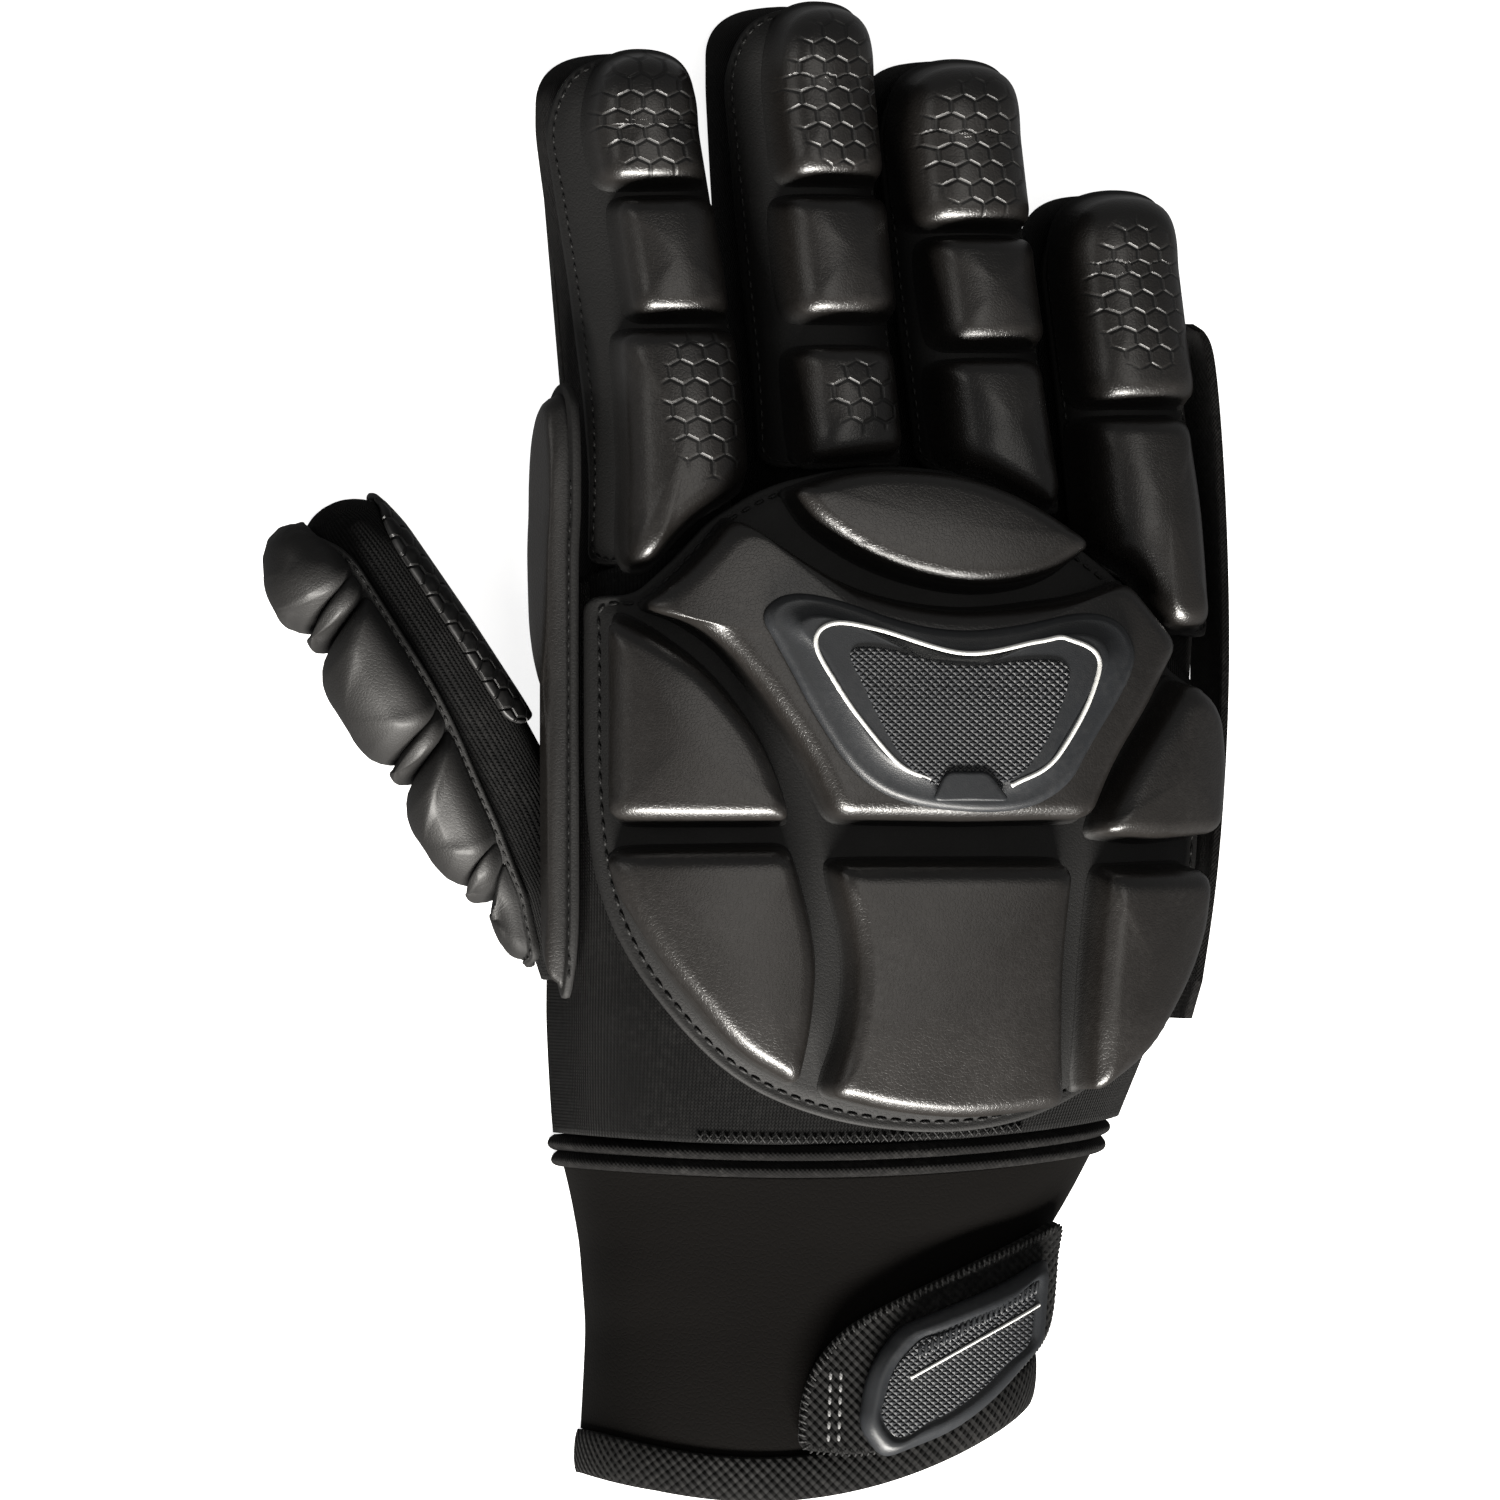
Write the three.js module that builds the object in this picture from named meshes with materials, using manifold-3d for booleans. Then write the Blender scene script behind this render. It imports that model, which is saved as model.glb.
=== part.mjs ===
import * as THREE from 'three';
import { mergeVertices } from 'three/addons/utils/BufferGeometryUtils.js';
import Module from 'manifold-3d';

const wasm = await Module();
wasm.setup();

// Indoor hockey glove for one hand, lying palm down. Sizes are in millimetres.
// X runs towards the little finger, Y towards the fingertips and Z up from the palm.

// Walls and clearances
const leatherWall = 1.4;
const fabricWall = 1.5;
const thumbLeatherWall = 1.2;
const cuffWall = 2.5;
const flangeWall = 1.5;
const gap = 0.3;
const padClearance = 1.4;
const fabricSeat = leatherWall + gap;

// Foam heights above the flange, and the roundness of a block's shoulder
const fingerFoam = 8;
const backFoam = 9;
const thumbFoam = 7.5;
const sideFoam = 4.5;
const shoulder = 3.4;
const sharpBend = THREE.MathUtils.degToRad(48);

// The part's place: the middle of its outline is moved to the origin
const centring = { x: 1.63, y: 0.37 };

// The hand in cross-sections along Y: left and right edge and the height of the roof
const handRows = [
  { y: -72, left: -31, right: 65, top: 27.5 },
  { y: -64, left: -32, right: 67, top: 29 },
  { y: -45, left: -33, right: 75, top: 32.5 },
  { y: -20, left: -33, right: 79, top: 34.5 },
  { y: 10, left: -33, right: 81, top: 34.5 },
  { y: 34, left: -33, right: 81, top: 33 },
  { y: 50, left: -32, right: 80, top: 31 },
];

// The cuff in the same way, narrow above the hem
const cuffRows = [
  { y: -128, left: -27, right: 50, top: 23 },
  { y: -114, left: -26.4, right: 52, top: 24 },
  { y: -98, left: -25.8, right: 53, top: 24.5 },
  { y: -84, left: -26.8, right: 54.5, top: 25.5 },
  { y: -76, left: -28.4, right: 59.5, top: 26.5 },
  { y: -66, left: -31, right: 65, top: 28 },
];

// A finger stall's length is its tip's Y. A row gives the middle, half width and roof height.
// The flange outline and the blocks are in (across, Y), across being measured from the middle.
const fingers = [
  {
    name: 'index',
    tip: 116.8,
    lean: -0.07,
    rows: [
      { y: 24, x: -17.2, half: 13.2, top: 29 },
      { y: 46, x: -16.8, half: 13, top: 28.5 },
      { y: 60, x: -17.2, half: 12.4, top: 27 },
      { y: 80, x: -19.2, half: 12.2, top: 24 },
      { y: 105, x: -22.8, half: 12.2, top: 20.5 },
    ],
    left: 11.2,
    right: 11,
    hem: [{ across: -12, y: 30.6 }, { across: -4.6, y: 31.4 }, { across: 0, y: 37 }, { across: 12, y: 45.4 }],
    blocks: [
      { outline: [[-6, 95.5], [8.6, 95.5], [8.6, 110.5, 8], [5.2, 115.4], [-2.6, 115.4], [-6, 110.5, 8]] },
      { outline: [[-4.8, 73], [9.2, 73], [9.2, 92], [-4.8, 92]] },
      { outline: [[-6.6, 69.5], [9.8, 69.5], [11, 47.5], [-1, 38.4], [-4.4, 32.2], [-7.2, 31.8]] },
    ],
  },
  {
    name: 'middle',
    tip: 125,
    lean: 0.06,
    rows: [
      { y: 24, x: 13.5, half: 12.8, top: 29.5 },
      { y: 46, x: 12, half: 12.5, top: 29 },
      { y: 60, x: 11, half: 12.5, top: 27.5 },
      { y: 84, x: 9.2, half: 12.3, top: 24 },
      { y: 113, x: 7.2, half: 12.2, top: 20.5 },
    ],
    left: 10.6,
    right: 10.4,
    hem: [{ across: -12, y: 47.8 }, { across: 12, y: 47.8 }],
    blocks: [
      { outline: [[-5.2, 96.5], [9.6, 96.5], [9.6, 119, 8], [6.2, 123.6], [-1.8, 123.6], [-5.2, 119, 8]] },
      { outline: [[-6, 73], [9.6, 73], [9.6, 92.5], [-6, 92.5]] },
      { outline: [[-6.4, 48.8], [7.2, 50], [7.2, 66.8], [-6.4, 66.8]] },
    ],
  },
  {
    name: 'ring',
    tip: 116.2,
    lean: 0.06,
    rows: [
      { y: 24, x: 41.5, half: 12.6, top: 28.5 },
      { y: 40, x: 40.5, half: 12.2, top: 28 },
      { y: 60, x: 38, half: 12, top: 26 },
      { y: 80, x: 36, half: 11.8, top: 23 },
      { y: 104, x: 34, half: 11.8, top: 20 },
    ],
    left: 10.2,
    right: 10.2,
    hem: [{ across: -12, y: 48 }, { across: -8, y: 47.8 }, { across: 7, y: 39.6 }, { across: 12, y: 39.6 }],
    blocks: [
      { outline: [[-8, 89], [8.8, 89], [8.8, 110, 8], [5.2, 114.6], [-4.4, 114.6], [-8, 110, 8]] },
      { outline: [[-6.5, 68.5], [8.5, 68.5], [8.5, 85.8], [-6.5, 85.8]] },
      { outline: [[-7.2, 49.4], [5, 41], [6.8, 43], [6.6, 64.8], [-7.2, 64.8]] },
    ],
  },
  {
    name: 'little',
    tip: 93.6,
    lean: 0.1,
    rows: [
      { y: 6, x: 69, half: 10.6, top: 20 },
      { y: 20, x: 69, half: 11.2, top: 22.5 },
      { y: 38, x: 66.5, half: 11.8, top: 24 },
      { y: 60, x: 64.5, half: 11.8, top: 22 },
      { y: 82, x: 62.6, half: 11.4, top: 19 },
    ],
    left: 9.8,
    right: 9.6,
    hem: [{ across: -12, y: 33.4 }, { across: -5, y: 30 }, { across: 0.6, y: 19.4 }, { across: 12, y: 19.4 }],
    blocks: [
      { outline: [[-7.6, 59.2], [8.4, 59.2], [8.4, 87.6, 8], [5, 92.2], [-4.2, 92.2], [-7.6, 87.6, 8]] },
      { outline: [[-8, 55.4], [6.2, 55.4], [7, 38.8, 9], [6, 21.8], [0.2, 21.8], [-4, 32], [-8, 35.4]] },
    ],
  },
];

// The stitched flange of the back pad: its lower and upper edge for each X, on the back of the hand
const backFlange = [
  { x: -30.6, low: -16, high: 25.6 },
  { x: -29, low: -26, high: 26 },
  { x: -24.6, low: -37, high: 26 },
  { x: -19.8, low: -44.4, high: 31 },
  { x: -13, low: -52, high: 38.4 },
  { x: -3.4, low: -58, high: 44.4 },
  { x: 9, low: -62.8, high: 47.2 },
  { x: 25, low: -64.8, high: 47.2 },
  { x: 38, low: -63.8, high: 43.8 },
  { x: 51.6, low: -59.4, high: 34.2 },
  { x: 58, low: -55.6, high: 29.6 },
  { x: 66, low: -47.4, high: 21 },
  { x: 69, low: -44, high: 13.6 },
  { x: 73.2, low: -36.5, high: 11.6 },
  { x: 76, low: -27, high: 9.6 },
  { x: 77.2, low: -18, high: 0 },
];

// Its seven blocks, in (X, Y); a third number is the corner's radius
const backBlocks = [
  { outline: [[0.4, 42.8, 2], [12, 46.2, 9], [27, 45.8, 9], [39, 42, 9], [50.8, 34.2], [43, 28.8, 9],
    [30.6, 27, 9], [15.6, 30.4, 9], [4, 37.2, 5]] },
  { outline: [[-9.2, 38], [2, 30.8, 9], [12.4, 24.8, 9], [29.2, 22, 9], [46.2, 24.2, 9], [57, 28],
    [65.4, 17.6], [60, 7.8, 9], [54, -1.8, 9], [50.2, -11.2], [28.8, -11.6], [6.8, -11.2],
    [2.2, -1.2, 9], [-5.4, 10.2, 9], [-13.4, 20, 9], [-22.6, 23.4], [-17.2, 28.6]] },
  { outline: [[-26, 21.8], [-21.8, 18.8, 5], [-13.8, 12, 9], [-5.8, 1.2, 9], [-1.2, -11.6],
    [-26, -11.6]] },
  { outline: [[-26.4, -17.4], [-1.2, -17], [3.4, -32.6, 9], [3, -43.6, 9], [1, -55.2], [-9.4, -49.2, 9],
    [-19, -37.2, 9], [-25, -24.8, 9]] },
  { outline: [[6.8, -19.4], [47, -19.4], [45.6, -34.8, 9], [45.6, -46.2, 9], [46.6, -58.4], [31.2, -60.8, 9],
    [18, -59.6, 9], [6.8, -56.8], [10.4, -46.2, 9], [10.8, -33.8, 9]] },
  { outline: [[68, 11.4], [73, 7.8, 4], [74.4, -2.6, 9], [73, -13.6], [62.4, -14.6], [52.8, -13.8],
    [56, -7.2, 9], [62, 2.6, 9]] },
  { outline: [[54, -20.6], [71.4, -20], [71, -29.4, 9], [66.8, -40.8, 9], [60.4, -49.8, 9], [52.2, -56.2],
    [52.6, -38, 9]] },
];

// The rubber plate on the middle block, and the low tab at its foot
const badge = {
  thickness: 2.2,
  outline: [[-6.6, 22.4, 3], [-2.4, 26, 5], [5, 25.2, 9], [18, 20.6, 9], [28, 19.2, 9], [38, 20.4, 9], [48, 23, 9],
    [54.4, 21.4, 4], [57, 14.6, 5], [48.6, 1, 9], [45, -6.4, 8], [36.4, -11, 9], [18, -9.6, 9],
    [8.6, -4.4, 9], [0.8, 8, 9]],
};

// The thumb's axis in plan from its tip to its root, with half its width, middle height and half height
const thumbRows = [
  { t: 0, x: -74.8, y: 41.5, half: 4.5, mid: 12, rise: 5 },
  { t: 3, x: -73.2, y: 39, half: 7, mid: 12.2, rise: 7 },
  { t: 10, x: -69.2, y: 33.2, half: 8.2, mid: 12.4, rise: 8.4 },
  { t: 30, x: -58.2, y: 16.8, half: 8.8, mid: 12.2, rise: 8.8 },
  { t: 48, x: -48, y: 2.2, half: 9, mid: 10.4, rise: 7.2 },
  { t: 62, x: -40, y: -10.2, half: 8.4, mid: 9.6, rise: 6.4 },
  { t: 76, x: -34, y: -22.8, half: 7, mid: 9.2, rise: 6.2 },
  { t: 96, x: -31.8, y: -42.6, half: 2.4, mid: 8.8, rise: 5.6 },
];
const thumbGirth = 8.5;
const thumbPadArc = { upper: 9.5, rootUpper: 3, lower: -6 };
const thumbCreases = [15, 42, 67.5, 90];
const creaseSlant = 0.55;
const rootSegmentRise = 0.45;

// The foam strip down the index side, and the flat strip down the little finger side
const sidePad = { top: 25, front: 62, back: -43, step: 12, frontDepth: 15, backDepth: 6.6, flare: 0.12, seat: 0.6 };
const guard = { low: 4.5, high: 20, wall: 1.6 };
const guardLine = [[73, 76.4], [66, 79.2], [40, 81.2], [10, 81.6], [-20, 79.7], [-46, 75.9]];

// The closing strap and its rubber tab, in (X, Y) on the cuff
const strap = { wall: 1.8, outline: [[4.6, -118.4], [5, -108, 6], [10.6, -99, 7], [20, -93.6, 9], [46, -82.4, 9],
  [52.6, -79], [52.4, -98, 6], [36, -112.6, 9], [17, -119.6, 5]] };
const tab = { wall: 3, outline: [[14.4, -114.4], [15.8, -104.6, 5], [21.4, -97.4], [40.2, -90.2, 9], [47.8, -85.6],
  [47, -101], [34.4, -114, 9], [18.6, -120]] };

// The double seam at the wrist, and the bound hem
const seam = { width: 5.2, roll: 1.7, wall: 1.8 };
const hem = { width: 7.5, roll: 0.9 };

// The line of the finger roots, of the wrist seam and of the hem's lower edge, as Y for a given X
const knuckleLine = (x) => 36 - 0.0053 * (x - 8) ** 2;
const wristLine = (x) => -67 + 4.3 * ((x - 6) / 60) ** 2;
const hemLine = (x) => -127.4 + 0.0064 * (x + 1) ** 2;

// Materials
const foamSkin = { color: 0x37342f, roughness: 0.42, metalness: 0 };
const looks = {
  foam: foamSkin,
  fabric: { color: 0x121212, roughness: 0.95, metalness: 0 },
  leather: { color: 0x1b1b1c, roughness: 0.6, metalness: 0 },
  neoprene: { color: 0x15120f, roughness: 0.9, metalness: 0 },
  webbing: { color: 0x161616, roughness: 0.9, metalness: 0 },
  rubber: { color: 0x23262b, roughness: 0.5, metalness: 0 },
};

const glove = new THREE.Group();

function addPart(name, solid, look) {
  const { vertProperties, triVerts } = solid.getMesh();
  const geometry = new THREE.BufferGeometry();
  geometry.setAttribute('position', new THREE.BufferAttribute(new Float32Array(vertProperties), 3));
  geometry.setIndex(new THREE.BufferAttribute(new Uint32Array(triVerts), 1));
  geometry.computeVertexNormals();
  const mesh = new THREE.Mesh(geometry, new THREE.MeshStandardMaterial(looks[look]));
  mesh.name = name;
  glove.add(mesh);
}

// A closed mesh of points and triangles becomes a solid, turned inside out if its volume is negative.
function solidOf(points, triangles) {
  let volume = 0;
  for (const [a, b, c] of triangles) {
    volume += points[a].dot(new THREE.Vector3().crossVectors(points[b], points[c]));
  }
  const outward = volume > 0 ? triangles : triangles.map(([a, b, c]) => [a, c, b]);
  const vertProperties = new Float32Array(points.flatMap((p) => [p.x, p.y, p.z]));
  return new wasm.Manifold(new wasm.Mesh({ numProp: 3, vertProperties, triVerts: new Uint32Array(outward.flat()) }));
}

function solidOfGeometry(geometry) {
  geometry.deleteAttribute('normal');
  geometry.deleteAttribute('uv');
  const merged = mergeVertices(geometry, 1e-4);
  const { position } = merged.attributes;
  const vertProperties = new Float32Array(position.array);
  return new wasm.Manifold(new wasm.Mesh({ numProp: 3, vertProperties, triVerts: new Uint32Array(merged.index.array) }));
}

// Rings of equally many points are joined into one closed body, with a fan over each end.
function loft(rings, firstCentre = centreOf(rings[0]), lastCentre = centreOf(rings.at(-1))) {
  const count = rings[0].length;
  const points = [...rings.flat(), firstCentre, lastCentre];
  const first = points.length - 2;
  const triangles = [];
  for (let i = 0; i < count; i += 1) {
    const next = (i + 1) % count;
    for (let r = 0; r + 1 < rings.length; r += 1) {
      const low = r * count;
      triangles.push([low + i, low + next, low + count + next], [low + i, low + count + next, low + count + i]);
    }
    const top = (rings.length - 1) * count;
    triangles.push([first, next, i], [first + 1, top + i, top + next]);
  }
  return solidOf(points, triangles);
}

// A curved slab from rows of pairs, each pair a point below and the point above it
function slab(rows) {
  const width = rows[0].length;
  const points = rows.flat(2);
  const index = (r, i, side) => 2 * (r * width + i) + side;
  const triangles = [];
  const quad = (a, b, c, d) => triangles.push([a, b, c], [a, c, d]);
  for (let r = 0; r + 1 < rows.length; r += 1) {
    for (let i = 0; i + 1 < width; i += 1) {
      quad(index(r, i, 1), index(r, i + 1, 1), index(r + 1, i + 1, 1), index(r + 1, i, 1));
      quad(index(r, i, 0), index(r + 1, i, 0), index(r + 1, i + 1, 0), index(r, i + 1, 0));
    }
    quad(index(r, 0, 0), index(r, 0, 1), index(r + 1, 0, 1), index(r + 1, 0, 0));
    const end = width - 1;
    quad(index(r, end, 0), index(r + 1, end, 0), index(r + 1, end, 1), index(r, end, 1));
  }
  const last = rows.length - 1;
  for (let i = 0; i + 1 < width; i += 1) {
    quad(index(0, i, 0), index(0, i + 1, 0), index(0, i + 1, 1), index(0, i, 1));
    quad(index(last, i, 0), index(last, i, 1), index(last, i + 1, 1), index(last, i + 1, 0));
  }
  return solidOf(points, triangles);
}

function centreOf(ring) {
  return ring.reduce((sum, p) => sum.add(p), new THREE.Vector3()).divideScalar(ring.length);
}

// The row of a table at a place between its rows, column by column.
function rowAt(rows, key, place) {
  let i = 0;
  while (i + 2 < rows.length && rows[i + 1][key] < place) i += 1;
  const share = THREE.MathUtils.clamp((place - rows[i][key]) / (rows[i + 1][key] - rows[i][key]), 0, 1);
  const columns = Object.keys(rows[i]);
  return Object.fromEntries(columns.map((c) => [c, THREE.MathUtils.lerp(rows[i][c], rows[i + 1][c], share)]));
}

// A surface from its point formula: the point moves off along the normal by the lift.
function surfaceOf(point, outward) {
  const step = 0.01;
  return (a, b, lift = 0) => {
    const alongA = point(a + step, b).sub(point(a - step, b));
    const alongB = point(a, b + step).sub(point(a, b - step));
    const normal = new THREE.Vector3().crossVectors(alongB, alongA).normalize().multiplyScalar(outward);
    return point(a, b).addScaledVector(normal, lift);
  };
}

// An arch standing on its base: a half superellipse, square-shouldered where its power is high.
// The angle runs from 0 on the right to PI on the left. above() takes X instead of the angle.
function arch(rows, base, { leftPower = 2.5, rightPower = 2.4, lean = 0 } = {}) {
  const section = (y) => {
    const row = rowAt(rows, 'y', y);
    return { middle: (row.left + row.right) / 2, half: (row.right - row.left) / 2, top: row.top };
  };
  const at = surfaceOf((angle, y) => {
    const { middle, half, top } = section(y);
    const side = Math.cos(angle);
    const power = side < 0 ? leftPower : rightPower;
    const across = Math.sign(side) * Math.abs(side) ** (2 / power);
    const up = Math.max(0, Math.sin(angle)) ** (2 / power);
    return new THREE.Vector3(middle + half * across, y, base + (top - base) * up * (1 - lean * across));
  }, 1);
  const angleOf = (x, y) => {
    const { middle, half } = section(y);
    const across = THREE.MathUtils.clamp((x - middle) / half, -0.998, 0.998);
    const power = across < 0 ? leftPower : rightPower;
    return Math.acos(Math.sign(across) * Math.abs(across) ** (power / 2));
  };
  return { at, section, above: (x, y, lift) => at(angleOf(x, y), y, lift) };
}

// One ring of an arch. yAt gives the ring's Y for each X, and the floor is its lowest height.
function archRing(surface, yAt, lift, floor, sides = 18) {
  const ring = [];
  for (let i = 0; i <= sides; i += 1) {
    const angle = (Math.PI * i) / sides;
    const x = surface.at(angle, yAt(surface.section(yAt(0)).middle)).x;
    const point = surface.at(angle, yAt(x), lift);
    point.z = i === 0 || i === sides ? floor : Math.max(floor, point.z);
    ring.push(point);
  }
  return ring;
}

// The space inside stations along an arch. A station has its line, its lift and its own floor.
function archBody(surface, stations, sides) {
  return loft(stations.map(({ line, lift = 0, floor }) => archRing(surface, line, lift, floor, sides)));
}

const blend = (from, to, share) => (x) => THREE.MathUtils.lerp(from(x), to(x), share);
const shares = (count) => Array.from({ length: count + 1 }, (_, i) => i / count);

// A closed outline with rounded corners: a sharp one gets a middle point, a slight one is bevelled.
// A point's third number is its corner's radius. Long straight runs are divided.
function rounded(outline, radius = 2.4, spacing = 13) {
  const corners = outline.map(([x, y, r = radius], i) => {
    const corner = new THREE.Vector2(x, y);
    const ways = [outline.at(i - 1), outline[(i + 1) % outline.length]].map(
      ([ex, ey]) => new THREE.Vector2(ex, ey).sub(corner),
    );
    const [before, after] = ways.map((way) => (
      corner.clone().addScaledVector(way.clone().normalize(), Math.min(r, way.length() * 0.48))));
    const bend = Math.PI - Math.abs(ways[0].angleTo(ways[1]));
    const middle = before.clone().add(after).multiplyScalar(0.25).addScaledVector(corner, 0.5);
    return bend > sharpBend ? [before, middle, after] : [before, after];
  });
  const points = corners.flatMap((corner, i) => {
    const last = corners.at(i - 1).at(-1);
    const pieces = Math.max(1, Math.ceil(last.distanceTo(corner[0]) / spacing));
    const run = shares(pieces).slice(1, -1).map((share) => last.clone().lerp(corner[0], share));
    return [...run, ...corner];
  });
  return points.filter((p, i) => p.distanceTo(points.at(i - 1)) > 0.6);
}

// A body bounded by rings of one outline on a surface: each ring is drawn in towards the middle
// by an inset and a share of the way, and lifted off the surface.
function stack(surface, outline, rings, lifts) {
  const middle = outline.reduce((sum, p) => sum.add(p), new THREE.Vector2()).divideScalar(outline.length);
  const place = ({ inset = 0, share = 0, lift }) => outline.map((p) => {
    const way = p.distanceTo(middle);
    const moved = p.clone().lerp(middle, Math.min(0.9, share + ((1 - share) * inset) / way));
    return surface(moved.x, moved.y, lift);
  });
  return loft(rings.map(place), surface(middle.x, middle.y, lifts.low), surface(middle.x, middle.y, lifts.high));
}

// A flat flange of even thickness, with enough rings across it to follow the surface
function sheetOn(surface, points, low, wall, steps = 3) {
  const inner = shares(steps).slice(1, -1);
  const high = low + wall;
  const rings = [...inner.toReversed().map((share) => ({ share, lift: low })), { lift: low },
    { lift: high }, ...inner.map((share) => ({ share, lift: high }))];
  return stack(surface, rounded(points), rings, { low, high });
}

// A foam block: a drafted wall, a round shoulder and a slightly crowned top
function foamBlock(surface, { outline, rise = 1 }, seatLift, fullHeight, steps) {
  const height = fullHeight * rise;
  const high = seatLift + height;
  const inner = shares(steps).slice(1, -1);
  const foot = seatLift - flangeWall * 0.32;
  const under = shares(Math.max(2, steps)).slice(1, -1);
  const rings = [...under.toReversed().map((share) => ({ share, lift: foot })),
    { lift: seatLift },
    { inset: shoulder * 0.25, lift: seatLift + height * 0.72 },
    { inset: shoulder, lift: high },
    ...inner.map((share) => ({ share, lift: high + height * 0.05 }))];
  return stack(surface, rounded(outline), rings, { low: foot, high: high + height * 0.06 });
}

// A foam pad: the blocks stand in the middle of the flange's thickness and are one piece with it.
function addBlocks(flange, surface, blocks, height, blockSteps) {
  const seatLift = padClearance + flangeWall / 2;
  const foam = blocks.map((block) => foamBlock(surface, block, seatLift, height - flangeWall / 2, blockSteps));
  return foam.reduce((pad, block) => pad.add(block), flange);
}

function foamPad(surface, { flange, blocks, height, flangeSteps, blockSteps }) {
  const sheet = sheetOn(surface, flange, padClearance, flangeWall, flangeSteps);
  return addBlocks(sheet, surface, blocks, height, blockSteps);
}

// Palm: one flat piece of leather under the hand and the four fingers
function palmPanel() {
  const wristEdge = [64.5, -29.5].map((x) => [x, wristLine(x) + gap]);
  const outline = [[-31.6, -40, 9], [-32, 24, 9]];
  const inset = 0.8;
  for (const { tip, rows } of fingers) {
    const first = rows[1];
    const last = rows.at(-1);
    outline.push([first.x - first.half + inset, first.y, 3], [last.x - last.half + inset, last.y, 8],
      [last.x - 7, tip - gap, 4], [last.x + 7, tip - gap, 4],
      [last.x + last.half - inset, last.y, 8], [first.x + first.half - inset, first.y, 3]);
  }
  outline.push([80, 10, 9], [78, -20, 9], [73, -45, 9], ...wristEdge);
  const shape = new THREE.Shape(rounded(outline, 2, 30));
  return solidOfGeometry(new THREE.ExtrudeGeometry(shape, { depth: leatherWall, bevelEnabled: false }));
}

// Hand: a roof of ribbed fabric from the wrist seam to the finger roots, open at both ends
const handSurface = arch(handRows, fabricSeat, { leftPower: 4, rightPower: 2.4 });

function handSleeve() {
  const from = (x) => wristLine(x) + gap;
  const stations = shares(5);
  const outer = stations.map((s) => ({ line: blend(from, knuckleLine, s), floor: fabricSeat }));
  const past = (x) => wristLine(x) - 2;
  const beyond = (x) => knuckleLine(x) + 2;
  const inner = stations.map((s) => ({ line: blend(past, beyond, s), lift: -fabricWall, floor: 0 }));
  return archBody(handSurface, outer).subtract(archBody(handSurface, inner));
}

function backPad() {
  const flange = slab(backFlange.map(({ x, low, high }) => shares(7).map((s) => {
    const y = THREE.MathUtils.lerp(low, high, s);
    return [padClearance, padClearance + flangeWall].map((lift) => handSurface.above(x, y, lift));
  })));
  return addBlocks(flange, handSurface.above, backBlocks, backFoam, 3);
}

// Finger stalls: roofs open at the root and below, closed at the tip
function fingerSurface({ rows, tip, lean }) {
  const last = rows.at(-1);
  const tipRows = [
    { y: tip - 5, x: last.x, half: last.half - 0.9, top: last.top - 2.2 },
    { y: tip - 1.6, x: last.x, half: last.half - 2.6, top: last.top - 5 },
    { y: tip, x: last.x, half: last.half - 5, top: last.top - 8.4 },
  ];
  const edges = [...rows, ...tipRows].map(({ y, x, half, top }) => ({ y, left: x - half, right: x + half, top }));
  const surface = arch(edges, fabricSeat, { leftPower: 2.5, rightPower: 2.5, lean });
  const flangeTop = padClearance + flangeWall;
  const local = (across, y, lift) => {
    const steady = Math.min(y, last.y - 1);
    const crest = surface.section(steady).middle;
    const rise = surface.above(crest, steady, 1).sub(surface.above(crest, steady, 0));
    const foot = surface.above(surface.section(y).middle + across, y, Math.min(lift, flangeTop));
    return foot.addScaledVector(rise, Math.max(0, lift - flangeTop));
  };
  return { ...surface, local };
}

const fingerSides = 12;

function fingerLines({ tip, rows }) {
  const ys = [...rows.slice(1).map((row) => row.y + 4), tip - 5, tip - 1.6, tip];
  return ys.map((y) => () => y);
}

function fingerSleeve(surface, finger) {
  const root = (x) => knuckleLine(x) + gap;
  const lines = fingerLines(finger);
  const outer = [root, ...lines].map((line) => ({ line, floor: fabricSeat }));
  const before = (x) => knuckleLine(x) - 3;
  const inner = [before, ...lines.slice(0, -1)].map((line) => ({ line, lift: -fabricWall, floor: 0 }));
  return archBody(surface, outer, fingerSides).subtract(archBody(surface, inner, fingerSides));
}

// A finger pad's flange: rows across the finger, from its hem at the knuckle to its rounded tip
function fingerFlange(surface, { left, right, hem, tip }) {
  const from = (across) => rowAt(hem, 'across', across).y;
  const to = tip - 1;
  const places = shares(6);
  const narrowing = [1, 1, 1, 1, 1, 0.97, 0.66];
  const rows = [0, 0.2, 0.42, 0.64, 0.84, 0.95, 1].map((s, i) => places.map((a) => {
    const across = THREE.MathUtils.lerp(-left, right, a) * narrowing[i];
    const y = THREE.MathUtils.lerp(from(across), to, s);
    return [padClearance, padClearance + flangeWall].map((lift) => surface.local(across, y, lift));
  }));
  return slab(rows);
}

function fingerPad(surface, finger) {
  return addBlocks(fingerFlange(surface, finger), surface.local, finger.blocks, fingerFoam, 1);
}

// Thumb: a closed stall lying beside the hand. Angle 0 faces out, away from the index finger.
function thumbPoint(angle, t) {
  const row = rowAt(thumbRows, 't', t);
  const ahead = rowAt(thumbRows, 't', t + 6);
  const behind = rowAt(thumbRows, 't', t - 6);
  const way = new THREE.Vector3(ahead.x - behind.x, ahead.y - behind.y, 0).normalize();
  const power = 2 / 2.3;
  const out = row.half * Math.sign(Math.cos(angle)) * Math.abs(Math.cos(angle)) ** power;
  const up = row.rise * Math.sign(Math.sin(angle)) * Math.abs(Math.sin(angle)) ** power;
  return new THREE.Vector3(row.x + way.y * out, row.y - way.x * out, row.mid + up);
}

const thumbSurface = surfaceOf(thumbPoint, 1);
const thumbArc = (arc, t, lift) => thumbSurface(arc / thumbGirth, t, lift);

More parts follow.
